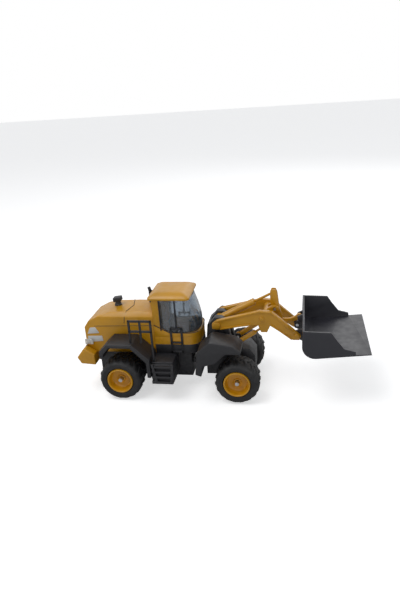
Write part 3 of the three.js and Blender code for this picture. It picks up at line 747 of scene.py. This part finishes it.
@dataclass
class Wheels:
    """Four lugged tyres on dished rims.

    Attributes:
        radius: Outer radius over the lugs.
        width: Tyre width.
        middle: Distance of a tyre's middle plane from the loader's.
        seat: Radius at which tyre and rim meet.
        lug_depth: Height of the lugs.
        lugs: Lugs in one row round a tyre.
        dish: Depth of the rim's dish.
        height: Axle height.
    """

    radius: float = 22.5
    width: float = 26.0
    middle: float = 33.0
    seat: float = 13.55
    lug_depth: float = 1.1
    lugs: int = 18
    dish: float = 8.0
    height: float = 22.5

    def tyre(self, place: str, x: float, side: Side, body: Body) -> None:
        """Builds one tyre's carcass with its rounded shoulders and sidewall ring.

        Args:
            place: The axle's name.
            x: The axle's X.
            side: The tyre's side.
            body: The body that it rides on.
        """
        half, crown = self.width / 2, self.radius - self.lug_depth
        section = [(self.seat, -half + 2.2), (self.seat + 0.8, -half + 1.0), (self.seat + 1.8, -half + 0.7),
                   (self.seat + 2.4, -half + 1.0), (crown - 3.4, -half), (crown - 1.5, -half + 0.8),
                   (crown - 0.3, -half + 2.8), (crown, -half + 5.5), (crown + 0.1, 0.0)]
        profile = section + [(radius, -along) for radius, along in reversed(section[:-1])]
        middle = side.value * self.middle
        form = Form().lathe([(radius, middle + along) for radius, along in profile], x, self.height, 72)
        form.piece(f"{side.word}_{place}_tyre_carcass", Finish.RUBBER, body, [f"{side.word}_{place}_tyre"],
                   bevel=0, smooth=60)

    def tread(self, place: str, x: float, body: Body) -> None:
        """Builds the slanting lugs of an axle's two tyres.

        Args:
            place: The axle's name.
            x: The axle's X.
            body: The body that it rides on.
        """
        form = Form()
        pitch = 2 * math.pi / self.lugs
        rows = [(0.0, 0.55, 0.12), (4.0, 0.32, 0.15), (8.5, 0.12, 0.2), (10.6, 0.04, 0.23), (12.0, 0.0, 0.24)]
        for side in Side:
            for hand in (-1, 1):
                rings = []
                for along, lead, half in rows:
                    drop = max(0.0, along - 7.0) ** 2 * 0.1
                    top, foot = self.radius - drop, self.radius - self.lug_depth - 1.2 - drop * 1.5
                    shift = lead + (0.5 if hand > 0 else 0.0)
                    ring = []
                    for share, radius in ((shift - half, top), (shift + half, top),
                                          (shift + half * 1.35, foot), (shift - half * 1.35, foot)):
                        angle = share * pitch
                        ring.append((x + radius * math.cos(angle),
                                     side.value * self.middle + hand * along, self.height + radius * math.sin(angle)))
                    rings.append(ring)
                form.loft(rings)
        radial_copies(form, f"{place}_tread_lugs", Finish.RUBBER, body, self.lugs, (x, 0, self.height))

    def rim(self, place: str, x: float, side: Side, body: Body) -> None:
        """Builds one rim with its rolled lip, dish and hub.

        Args:
            place: The axle's name.
            x: The axle's X.
            side: The rim's side.
            body: The body that it rides on.
        """
        half, lip = self.width / 2, self.seat - 0.15
        profile = [(2.3, -half + 2.2), (lip, -half + 2.2), (lip, half - 0.9), (lip - 0.3, half - 0.2),
                   (lip - 0.9, half), (lip - 1.5, half - 0.3), (lip - 1.8, half - 1.0), (lip - 2.0, half - 3.4),
                   (lip - 2.6, half - self.dish + 1.6), (lip - 3.6, half - self.dish + 0.3), (lip - 4.4, half - self.dish),
                   (4.6, half - self.dish), (3.9, half - self.dish + 0.3), (3.4, half - self.dish + 1.4),
                   (2.3, half - self.dish + 1.6)]
        sign = side.value
        form = Form().lathe([(radius, sign * (self.middle + along)) for radius, along in profile], x, self.height, 64)
        form.piece(f"{side.word}_{place}_rim_dish", Finish.YELLOW, body, [f"{side.word}_{place}_rim"],
                   bevel=0.12, smooth=45)

    def build(self) -> None:
        """Builds the wheels of both axles."""
        for place, body in (("rear", Body.REAR_WHEELS), ("front", Body.FRONT_WHEELS)):
            x = (sum(corner.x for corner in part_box(f"{place}_axle")) / 2 - REAR_AXLE_X) / MM
            for side in Side:
                self.tyre(place, x, side, body)
                self.rim(place, x, side, body)
            self.tread(place, x, body)


@dataclass
class RearHalf:
    """The bonnet, counterweight and what stands on them.

    Attributes:
        half: Half the bonnet's width.
        top: The bonnet's top.
        base: The bonnet's underside; not used.
        tail: How far the bonnet reaches behind the rear axle; not used.
        nose: How far it reaches ahead.
        tail_reach: Where the grille's face stands behind the rear axle.
        stack: The air stack's X and Y.
        pipe: The exhaust pipe's X and Y.
    """

    half: float = 20.0
    top: float = 88.0
    base: float = 42.3
    tail: float = 41.0
    nose: float = 34.0
    tail_reach: float = 43.0
    stack: Point = (-9.0, 3.0)
    pipe: Point = (26.0, 10.0)

    def bonnet(self) -> None:
        """Builds the bonnet's rounded body, its seams and the pale tail panels."""
        Form().node("bonnet").piece("bonnet_shell", Finish.YELLOW, Body.CHASSIS, ["bonnet"], bevel=1.3,
                                    smooth=50, segments=4)
        seams = Form()
        for sign in (-1, 1):
            seams.tube([(9.0, 0.0, self.top + 0.06), (5.6, sign * (self.half - 4.2), self.top + 0.06),
                        (4.0, sign * (self.half + 0.02), self.top - 5.4),
                        (3.0, sign * (self.half + 0.04), self.top - 12.0)], 0.28, 8)
            seams.tube([(self.nose - 1, sign * (self.half + 0.05), 74.0), (-30.0, sign * (self.half + 0.05), 72.4)],
                       0.22, 8)
        seams.piece("bonnet_seams", Finish.BLACK, Body.CHASSIS, bevel=0)
        for side in Side:
            low, high = sorted((side.value * (self.half - 0.5), side.value * (self.half + 0.35)))
            panels = Form().prism(rounded([(-38.6, 63.5), (-25.5, 64.5), (-29.2, 71.2), (-35.0, 70.6)], 0.8),
                                  low, high)
            panels.prism(rounded([(-38.6, 54.0), (-22.0, 55.5), (-22.8, 61.5), (-38.6, 61.0)], 0.7), low, high)
            panels.piece(f"{side.word}_tail_panels", Finish.PALE, Body.CHASSIS, bevel=0.15)

    def weight(self) -> None:
        """Builds the counterweight, the tail grille's ribs and the lamps."""
        Form().node("counterweight").piece("counterweight_casting", Finish.YELLOW, Body.CHASSIS,
                                           ["counterweight"], bevel=1.1, smooth=50, segments=4)
        Form().node("tail_grille").piece("grille_plate", Finish.BLACK, Body.CHASSIS, ["tail_grille"], bevel=0.3)
        rib = Form().block((-self.tail_reach - 0.7, -12.6, 52.9), (-self.tail_reach + 0.3, 12.6, 53.5))
        row_copies(rib, "grille_ribs", Finish.BLACK, Body.CHASSIS, 4, (0, 0, 1.3))
        for side in Side:
            Form().node(f"{side.word}_tail_lamp").piece(f"{side.word}_lamp_lens", Finish.LENS, Body.CHASSIS,
                                                        [f"{side.word}_tail_lamp"], bevel=0.5)

    def stacks(self) -> None:
        """Builds the air stack with its tilted square head, and the leaning exhaust pipe."""
        x, y = self.stack
        pipe_x, pipe_y = self.pipe
        stack = Form().tube([(x, y, self.top - 3.5), (x, y, self.top + 0.5), (x, y, self.top + 1.0),
                             (x, y, self.top + 4.6)], [4.4, 3.7, 3.1, 2.9], 24)
        stack.piece("air_stack_neck", Finish.BLACK, Body.CHASSIS, ["air_stack"], bevel=0.2)
        head = Form().prism(rounded([(x - 4.2, self.top + 3.6), (x + 4.2, self.top + 3.6),
                                     (x + 4.2, self.top + 8.2), (x - 4.2, self.top + 8.2)], 0.8), y - 4.0, y + 4.0)
        head.turned(8, x, self.top + 5.0)
        head.piece("air_stack_head", Finish.BLACK, Body.CHASSIS, bevel=0.6)
        pipe = Form().tube([(pipe_x, pipe_y, self.top + 0.2), (pipe_x, pipe_y, self.top + 6),
                            (pipe_x - 0.6, pipe_y, self.top + 12), (pipe_x - 1.8, pipe_y, self.top + 16.6)],
                           [2.0, 1.75, 1.7, 1.7], 20)
        pipe.tube([(pipe_x, pipe_y, self.top + 0.1), (pipe_x, pipe_y, self.top + 1.6)], [2.9, 2.7], 20)
        pipe.piece("exhaust_stub", Finish.BLACK, Body.CHASSIS, ["exhaust_pipe"], bevel=0.25)

    def frame(self) -> None:
        """Softens the edges of the rear frame's casting."""
        Form().node("rear_frame").piece("rear_frame_casting", Finish.BLACK, Body.CHASSIS, ["rear_frame"], bevel=0.6)

    def build(self) -> None:
        """Builds the rear half."""
        self.bonnet()
        self.weight()
        self.stacks()
        self.frame()


@dataclass
class SideWorks:
    """Rear fenders, ladder steps and handrails.

    Attributes:
        inner: The fender's inner edge, as a distance from the middle plane; not used.
        outer: Its outer edge.
        rail_plane: The handrail's distance from the middle plane.
        rail: Width of the rail's flat bars.
        lip_top: Upper outline of the fender's rolled lip, from the tail forward.
        lip_foot: Its lower outline.
    """

    inner: float = 20.3
    outer: float = 47.0
    rail_plane: float = 41.0
    rail: float = 2.2
    lip_top: tuple[Point, ...] = ((-16.3, 48.4), (-16.3, 55.6), (-8.1, 63.3), (16.2, 63.3), (32.6, 46.6), (32.6, 28.4))
    lip_foot: tuple[Point, ...] = ((-13.8, 48.4), (-13.8, 53.1), (-6.9, 60.7), (15.1, 60.7), (30.3, 44.7), (30.3, 28.4))

    def fender(self, side: Side) -> None:
        """Builds one rear fender with its rolled outer lip."""
        word = side.word
        Form().node(f"{word}_rear_fender").piece(f"{word}_fender_plate", Finish.BLACK, Body.CHASSIS,
                                                 [f"{word}_rear_fender"], bevel=0.7, segments=3)
        low, high = sorted((side.value * (self.outer - 1.4), side.value * (self.outer + 0.2)))
        lip = Form()
        lip.prism([*self.lip_top, *reversed(self.lip_foot)], low, high)
        lip.piece(f"{word}_fender_lip", Finish.BLACK, Body.CHASSIS, bevel=0.4)

    def ladder(self, side: Side) -> None:
        """Builds one set of steps with its raking posts and treads."""
        word = side.word
        Form().node(f"{word}_steps").piece(f"{word}_step_block", Finish.BLACK, Body.CHASSIS,
                                           [f"{word}_steps"], bevel=0.4)
        face = side.value * (self.outer - 0.5)
        posts = Form()
        for x_top, x_foot in ((34.6, 38.6), (55.4, 53.0)):
            low, high = sorted((face - side.value * 1.6, face + side.value * 0.3))
            posts.prism([(x_top, 43.2), (x_foot, 21.4), (x_foot + 2.6, 21.4), (x_top + 2.6, 43.2)], low, high)
        posts.piece(f"{word}_ladder_posts", Finish.BLACK, Body.CHASSIS, bevel=0.4)
        low, high = sorted((face - side.value * 1.2, face + side.value * 0.5))
        tread = Form().prism(rounded([(38.0, 22.3), (55.4, 22.3), (55.4, 24.4), (38.0, 24.4)], 0.4), low, high)
        row_copies(tread, f"{word}_ladder_treads", Finish.BLACK, Body.CHASSIS, 4, (0, 0, 5.68))

    def rails(self, side: Side) -> None:
        """Builds one handrail: a flat frame with two windows and its tall post."""
        word, wide = side.word, self.rail
        low, high = sorted((side.value * (self.rail_plane - 1.0), side.value * (self.rail_plane + 1.0)))
        rail = Form()
        for low_x, high_x, low_z, high_z in (
            (14.0, 38.3, 89.0 - wide, 89.0), (14.0, 14.0 + wide, 64.8, 89.0), (25.2, 25.2 + wide, 64.8, 89.0),
            (38.3 - wide, 38.3, 44.0, 89.0), (14.0, 38.3, 75.8, 75.8 + wide),
        ):
            rail.block((low_x, low, low_z), (high_x, high, high_z))
        rail.piece(f"{word}_grab_frame", Finish.BLACK, Body.CHASSIS, [f"{word}_handrail"], bevel=0.45)

    def door_frame(self, side: Side) -> None:
        """Builds the upright frame beside the cab door."""
        low, high = sorted((side.value * 21.1, side.value * 22.6))
        gate = Form()
        for low_x, high_x, low_z, high_z in ((51.0, 53.2, 44.4, 72.0), (62.0, 64.2, 44.4, 72.0),
                                             (51.0, 64.2, 69.8, 72.0), (51.0, 64.2, 55.0, 57.0),
                                             (51.0, 64.2, 44.4, 47.0)):
            gate.block((low_x, low, low_z), (high_x, high, high_z))
        gate.piece(f"{side.word}_door_frame", Finish.BLACK, Body.CHASSIS, bevel=0.4)

    def build(self) -> None:
        """Builds both sides."""
        for side in Side:
            self.fender(side)
            self.ladder(side)
            self.rails(side)
            self.door_frame(side)


@dataclass
class Cab:
    """The cab with its bowed glazing, pillars and roof.

    Attributes:
        rear: The cab's rear face.
        front: Its front face.
        half: Half its width.
        floor: Its underside.
        sill: The mean height of the glass's lower edge.
        header: The glass's upper edge.
        roof_top: The roof's top; not used.
    """

    rear: float = 34.3
    front: float = 81.3
    half: float = 21.0
    floor: float = 44.0
    sill: float = 66.0
    header: float = 102.0
    roof_top: float = 108.5

    def plan(self, inset: float, nose: float = 0.0) -> list[Point]:
        """Draws the cab's round-nosed plan.

        Args:
            inset: How far the plan lies inside the cab's face.
            nose: How far the nose is drawn back.

        Returns:
            The plan as X and Y points, open at the rear.
        """
        half, front = self.half - inset, self.front - inset - nose
        points = [(self.rear + 7.5, -half), (self.rear + 16.0, -half), (front - 15.0, -half)]
        for step in range(1, 12):
            angle = math.pi * (step / 12 - 0.5)
            points.append((front - 15.0 + 15.0 * math.cos(angle) ** 0.8, half * math.sin(angle)))
        points += [(front - 15.0, half), (self.rear + 16.0, half), (self.rear + 7.5, half)]
        return points

    def tub_plan(self, proud: float) -> list[Point]:
        """Draws the tub's square-shouldered plan.

        Args:
            proud: How far the plan stands outside the tub's face.

        Returns:
            The plan as X and Y points, open at the rear.
        """
        half, front, corner = self.half + proud, self.front + proud, 14.0 + proud
        bend = []
        for step in range(9):
            share = step / 8
            bend.append((front - corner * (1 - share) ** 2, half - corner * share ** 2))
        right = [(x, -y) for x, y in bend]
        return [(self.rear + 0.3, -half), (self.rear + 16.0, -half), *right, *reversed(bend),
                (self.rear + 16.0, half), (self.rear + 0.3, half)]

    def glazing(self) -> None:
        """Builds the wrapped glass, which leans back towards the roof."""
        form = Form()
        rings = []
        for inset in (0.5, 1.6):
            for height, back in ((self.sill - 0.5, 0.0), (self.sill + 12.0, 0.0), (self.header - 12.0, 3.0),
                                 (self.header - 0.4, 7.0)):
                rings.append([(x - back * max(0.0, (x - 55.0) / 25.0), y, height) for x, y in self.plan(inset)])
        outer, inner = rings[:4], rings[4:]
        rows = [[*low, *reversed(high)] for low, high in zip(outer, inner)]
        form.loft(rows)
        form.piece("cab_glazing_bow", Finish.GLASS, Body.CHASSIS, ["cab_glass"], bevel=0, smooth=50)

    def tub(self) -> None:
        """Builds the yellow tub with its dipping sill, and the sill's black seal."""
        Form().node("cab_tub").piece("cab_tub_shell", Finish.YELLOW, Body.CHASSIS, ["cab_tub"], bevel=0.6, segments=3,
                                     smooth=50)
        collar, seal = Form(), Form()
        rings, seal_path = [], []
        for x, y in self.tub_plan(0.25):
            rise = 7.5 * max(0.0, (50.0 - x) / 12.0) ** 1.5 + 0.6
            top = self.sill + min(rise, 9.0)
            inward = Vector((x - 55.0, y, 0)).normalized() * 1.9
            rings.append([(x, y, self.sill - 4.0), (x, y, top), (x - inward.x, y - inward.y, top),
                          (x - inward.x, y - inward.y, self.sill - 4.0)])
            seal_path.append((x, y, top))
        collar.loft(rings)
        collar.piece("cab_sill_rim", Finish.YELLOW, Body.CHASSIS, bevel=0.3, smooth=50)
        seal.tube(seal_path, 0.42, 8)
        seal.piece("cab_sill_seal", Finish.BLACK, Body.CHASSIS, bevel=0)

    def apron(self) -> None:
        """Builds the black apron round the foot of the cab."""
        form, rings = Form(), []
        for x, y in self.tub_plan(0.35):
            inward = Vector((x - 55.0, y, 0)).normalized() * 1.4
            rings.append([(x, y, self.floor - 0.2), (x, y, self.floor + 9.4),
                          (x - inward.x, y - inward.y, self.floor + 9.4),
                          (x - inward.x, y - inward.y, self.floor - 0.2)])
        form.loft(rings)
        form.piece("cab_apron", Finish.BLACK, Body.CHASSIS, bevel=0.3, smooth=50)

    def pillars(self) -> None:
        """Builds the rear wall and the thin pillars between the panes."""
        Form().node("cab_rear_wall").piece("cab_rear_frame", Finish.YELLOW, Body.CHASSIS, ["cab_rear_wall"],
                                           bevel=0.6, segments=3)
        bars = Form()
        for side in Side:
            y = side.value * (self.half + 0.1)
            bars.tube([(58.0, y, self.sill + 0.4), (58.0, y, self.header)], 0.8, 8)
            bars.tube([(self.rear + 7.6, y, self.sill + 3.0), (self.rear + 7.6, y, self.header)], 0.8, 8)
        bars.piece("cab_window_bars", Finish.BLACK, Body.CHASSIS, bevel=0)

    def roof(self) -> None:
        """Builds the domed roof slab with its rounded brim."""
        form = Form()
        rear, front, half = self.rear - 4.0, self.front - 8.0, self.half + 2.0
        corners = rounded([(rear, -half), (front, -half), (front, half), (rear, half)], 4.0, 6)
        middle = ((rear + front) / 2, 0.0)
        rings = []
        for inset, height in ((1.6, 0.0), (0.5, 0.1), (0.0, 0.8), (0.0, 2.0), (0.7, 3.0), (3.6, 4.6), (5.2, 5.6),
                              (7.4, 6.3), (10.0, 6.5)):
            shares = (1 - inset / (front - middle[0]), 1 - inset / half)
            rings.append([(middle[0] + (x - middle[0]) * shares[0], y * shares[1], self.header + height)
                          for x, y in corners])
        form.loft(rings)
        form.piece("cab_roof_slab", Finish.YELLOW, Body.CHASSIS, ["cab_roof"], bevel=0.2, smooth=50)

    def fittings(self) -> None:
        """Builds the seat, the steering wheel and the dashboard."""
        Form().node("driver_seat").piece("seat_cushions", Finish.INSIDE, Body.CHASSIS, ["driver_seat"],
                                         bevel=0.9, segments=3)
        x, z = (Vector(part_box("steering_wheel")[0]) + Vector(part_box("steering_wheel")[1])).xz / 2
        x = (x - REAR_AXLE_X) / MM
        form = Form().tube([(x, 0, 47.6), (x, 0, 70.4), (x, 0, 71.6)], [1.0, 0.9, 1.6], 12)
        ring = [(x + 4.4 * math.cos(step * math.pi / 16), 4.4 * math.sin(step * math.pi / 16), 72.0)
                for step in range(33)]
        form.tube(ring, 0.6, 8)
        form.tube([(x - 4.2, 0, 71.8), (x + 4.2, 0, 71.8)], 0.5, 8)
        form.piece("steering_ring", Finish.BLACK, Body.CHASSIS, ["steering_wheel"], bevel=0)
        dash = Form().prism(rounded([(68.5, 48.0), (76.5, 48.0), (77.5, 70.5), (71.0, 72.5)], 1.5), -12.0, 12.0)
        dash.piece("dashboard", Finish.INSIDE, Body.CHASSIS, bevel=0.7)

    def build(self) -> None:
        """Builds the cab."""
        self.tub()
        self.apron()
        self.glazing()
        self.pillars()
        self.roof()
        self.fittings()


@dataclass
class FrontHalf:
    """The front frame and its fenders.

    Attributes:
        outer: The fenders' outer edge, as a distance from the middle plane; not used.
    """

    outer: float = 47.0

    def build(self) -> None:
        """Builds the front half."""
        Form().node("front_frame").piece("front_frame_casting", Finish.BLACK, Body.FRONT_HALF, ["front_frame"],
                                         bevel=0.6)
        for side in Side:
            word = side.word
            Form().node(f"{word}_front_fender").piece(f"{word}_wing_plate", Finish.BLACK, Body.FRONT_HALF,
                                                      [f"{word}_front_fender"], bevel=1.0, segments=3)


@dataclass
class Boom:
    """The bent lift arms, their cross tube and pins.

    Attributes:
        inner: The arms' inner face, as a distance from the middle plane; not used.
        outer: Their outer face.
        bend: The arms' bend.
        rear: The arms' pivot.
        nose: The bucket's pins.
    """

    inner: float = 13.5
    outer: float = 17.5
    bend: Point = (148.0, 84.0)
    rear: Point = (99.0, 74.0)
    nose: Point = (178.0, 63.0)

    def arm(self, side: Side) -> None:
        """Builds one arm with its raised flanges and round boss."""
        word = side.word
        Form().node(f"{word}_lift_arm").piece(f"{word}_arm_plate", Finish.YELLOW, Body.BOOM, [f"{word}_lift_arm"],
                                              bevel=0.5, segments=3)
        low, high = sorted((side.value * (self.outer - 0.3), side.value * (self.outer + 0.9)))
        flanges = Form()
        (bx, bz), (rx, rz), (nx, nz) = self.bend, self.rear, self.nose
        flanges.prism([(rx - 2, rz + 4.9), (bx - 6, bz + 5.9), (bx - 6, bz + 4.1), (rx - 2, rz + 3.1)], low, high)
        flanges.prism([(bx - 6, bz + 5.9), (bx + 6, bz + 4.9), (nx - 3, nz + 5.0), (nx - 4, nz + 3.2),
                       (bx + 5.4, bz + 3.2), (bx - 6, bz + 4.1)], low, high)
        flanges.prism([(rx + 3, rz - 4.8), (bx - 15, bz - 9.2), (bx - 15, bz - 7.6), (rx + 3, rz - 3.2)], low, high)
        flanges.prism([(bx + 5, bz - 9.5), (nx - 5, nz - 3.9), (nx - 5, nz - 2.5), (bx + 5, bz - 7.9)], low, high)
        flanges.piece(f"{word}_arm_flanges", Finish.YELLOW, Body.BOOM, bevel=0.35)
        knob = Form()
        ends = sorted((side.value * (self.outer - 0.3), side.value * (self.outer + 1.4)))
        knob.disc(bx - 4, bz - 2.6, 2.5, ends[0], ends[1])
        knob.disc(rx, rz, 3.4, ends[0], ends[1])
        knob.disc(nx, nz, 2.7, ends[0], ends[1])
        knob.piece(f"{word}_arm_bosses", Finish.YELLOW, Body.BOOM, bevel=0.45, segments=3)

    def build(self) -> None:
        """Builds the boom."""
        for side in Side:
            self.arm(side)
        Form().node("cross_tube").piece("cross_tube_bar", Finish.YELLOW, Body.BOOM, ["cross_tube"], bevel=0.3)


@dataclass
class Linkage:
    """The bell crank, the link and the cylinders.

    Attributes:
        soft: The nodes that keep their shape and only have their edges rounded, with their bodies.
    """

    soft: dict[str, Body] = field(default_factory=lambda: {
        "bell_crank": Body.CRANK, "bucket_link": Body.LINK, "tilt_barrel": Body.TILT_BARREL,
        "tilt_rod": Body.TILT_ROD, "right_lift_barrel": Body.LIFT_BARRELS, "left_lift_barrel": Body.LIFT_BARRELS,
        "right_lift_rod": Body.LIFT_RODS, "left_lift_rod": Body.LIFT_RODS,
    })

    def build(self) -> None:
        """Builds the linkage."""
        for node, body in self.soft.items():
            Form().node(node).piece(f"{node}_soft", Finish.YELLOW, body, [node], bevel=0.35)


@dataclass
class Bucket:
    """The scoop, with its rolled shell and two cheeks."""

    def build(self) -> None:
        """Builds the bucket."""
        Form().node("bucket").piece("bucket_shell", Finish.BUCKET, Body.BUCKET, ["bucket"], bevel=0.4, segments=3,
                                    smooth=50)


# Surroundings


@dataclass
class Studio:
    """The camera, floor, lamps and sky.

    Attributes:
        azimuth: The camera's turn round the loader, in degrees.
        elevation: Its height above the horizon, in degrees.
        roll: How far the photograph leans, in degrees.
        place: The camera's place in millimetres from the origin.
        focal: Focal length in pixels of the photograph.
        long_side: The photograph's longer side in pixels.
    """

    azimuth: float = 11.48
    elevation: float = 21.85
    roll: float = -4.06
    place: Place = (84.5, -503.4, 300.1)
    focal: float = 541.0
    long_side: float = 600.0

    def camera(self) -> None:
        """Sets the camera at the photograph's angle."""
        turn, rise, lean = (math.radians(angle) for angle in (self.azimuth, self.elevation, self.roll))
        back = Vector((math.sin(turn) * math.cos(rise), -math.cos(turn) * math.cos(rise), math.sin(rise)))
        right = Vector((0, 0, 1)).cross(back).normalized()
        up = back.cross(right)
        across = right * math.cos(lean) + up * math.sin(lean)
        above = up * math.cos(lean) - right * math.sin(lean)
        data = bpy.data.cameras.new("camera")
        data.sensor_fit = "AUTO"
        data.sensor_width = 36.0
        data.lens = 36.0 * self.focal / self.long_side
        data.clip_start, data.clip_end = 0.01, 50.0
        camera = bpy.data.objects.new("camera", data)
        camera.matrix_world = Matrix((
            (across.x, above.x, back.x, self.place[0] * MM),
            (across.y, above.y, back.y, self.place[1] * MM),
            (across.z, above.z, back.z, self.place[2] * MM),
            (0, 0, 0, 1),
        ))
        bpy.context.scene.collection.objects.link(camera)
        bpy.context.scene.camera = camera

    def floor(self) -> None:
        """Lays a plain pale floor that shows as white and keeps the shadow."""
        mesh = bmesh.new()
        bmesh.ops.create_grid(mesh, x_segments=1, y_segments=1, size=6.0)
        data = bpy.data.meshes.new("floor")
        mesh.to_mesh(data)
        mesh.free()
        floor = bpy.data.objects.new("floor", data)
        floor.location.z = -0.0002
        bpy.context.scene.collection.objects.link(floor)
        sheet = NodeSheet("pale_floor")
        sheet.shader.inputs["Base Color"].default_value = (0.86, 0.86, 0.86, 1)
        sheet.shader.inputs["Roughness"].default_value = 0.9
        sheet.shader.inputs["Emission Color"].default_value = (1, 1, 1, 1)
        rays = sheet.add("ShaderNodeLightPath")
        seen = sheet.add("ShaderNodeMath", operation="MAXIMUM")
        sheet.join(rays.outputs["Is Camera Ray"], seen.inputs[0])
        sheet.join(rays.outputs["Is Transmission Ray"], seen.inputs[1])
        strength = sheet.add("ShaderNodeMath", operation="MULTIPLY")
        sheet.join(seen.outputs[0], strength.inputs[0])
        strength.inputs[1].default_value = 0.55
        sheet.join(strength.outputs[0], sheet.shader.inputs["Emission Strength"])
        data.materials.append(sheet.material)

    def sky(self) -> None:
        """Sets a white background, and a soft grey light for everything else."""
        world = bpy.data.worlds.new("studio_sky")
        world.use_nodes = True
        tree = world.node_tree
        bright = tree.nodes["Background"]
        bright.inputs["Color"].default_value = (1, 1, 1, 1)
        bright.inputs["Strength"].default_value = 1.0
        soft = tree.nodes.new("ShaderNodeBackground")
        soft.inputs["Color"].default_value = (0.92, 0.95, 1.0, 1)
        soft.inputs["Strength"].default_value = 0.3
        rays, mixer = tree.nodes.new("ShaderNodeLightPath"), tree.nodes.new("ShaderNodeMixShader")
        first, second = tree.nodes.new("ShaderNodeMath"), tree.nodes.new("ShaderNodeMath")
        first.operation = second.operation = "MAXIMUM"
        tree.links.new(rays.outputs["Is Camera Ray"], first.inputs[0])
        tree.links.new(rays.outputs["Is Glossy Ray"], first.inputs[1])
        tree.links.new(first.outputs[0], second.inputs[0])
        tree.links.new(rays.outputs["Is Transmission Ray"], second.inputs[1])
        tree.links.new(second.outputs[0], mixer.inputs["Fac"])
        tree.links.new(soft.outputs[0], mixer.inputs[1])
        tree.links.new(bright.outputs[0], mixer.inputs[2])
        tree.links.new(mixer.outputs[0], tree.nodes["World Output"].inputs["Surface"])
        bpy.context.scene.world = world

    def lamp(self, name: str, place: Place, size: float, power: float) -> None:
        """Hangs one soft area lamp that faces the loader.

        Args:
            name: The lamp's name.
            place: Its place in metres.
            size: Its width in metres.
            power: Its power in watts.
        """
        data = bpy.data.lights.new(name, "AREA")
        data.size, data.energy = size, power
        lamp = bpy.data.objects.new(name, data)
        lamp.location = place
        lamp.rotation_euler = (Vector((0, 0, 0.05)) - Vector(place)).to_track_quat("-Z", "Y").to_euler()
        bpy.context.scene.collection.objects.link(lamp)

    def build(self) -> None:
        """Builds the surroundings."""
        self.camera()
        self.floor()
        self.sky()
        self.lamp("key_lamp", (-0.5, -0.4, 1.3), 0.8, 7.5)
        self.lamp("fill_lamp", (0.9, -0.9, 0.7), 1.2, 1.6)
        self.lamp("rim_lamp", (0.3, 1.0, 0.9), 1.0, 3.0)


def dress_nodes() -> None:
    """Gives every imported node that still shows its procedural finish."""
    for name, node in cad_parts.items():
        if node.hide_render:
            continue
        for place in node.material_slots:
            place.material = Finish.STEEL.material
        LOG.info("%s: dressed in place", name)


def main() -> None:
    """Builds the loader and its surroundings."""
    logging.basicConfig(level=logging.INFO, format="%(message)s")
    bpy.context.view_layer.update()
    bpy.context.scene.view_settings.view_transform = "Standard"
    for part in (Studio(), Wheels(), RearHalf(), SideWorks(), Cab(), FrontHalf(), Boom(), Linkage(), Bucket()):
        LOG.info("building %s", type(part).__name__)
        part.build()
    dress_nodes()


if __name__ == "__main__":
    main()
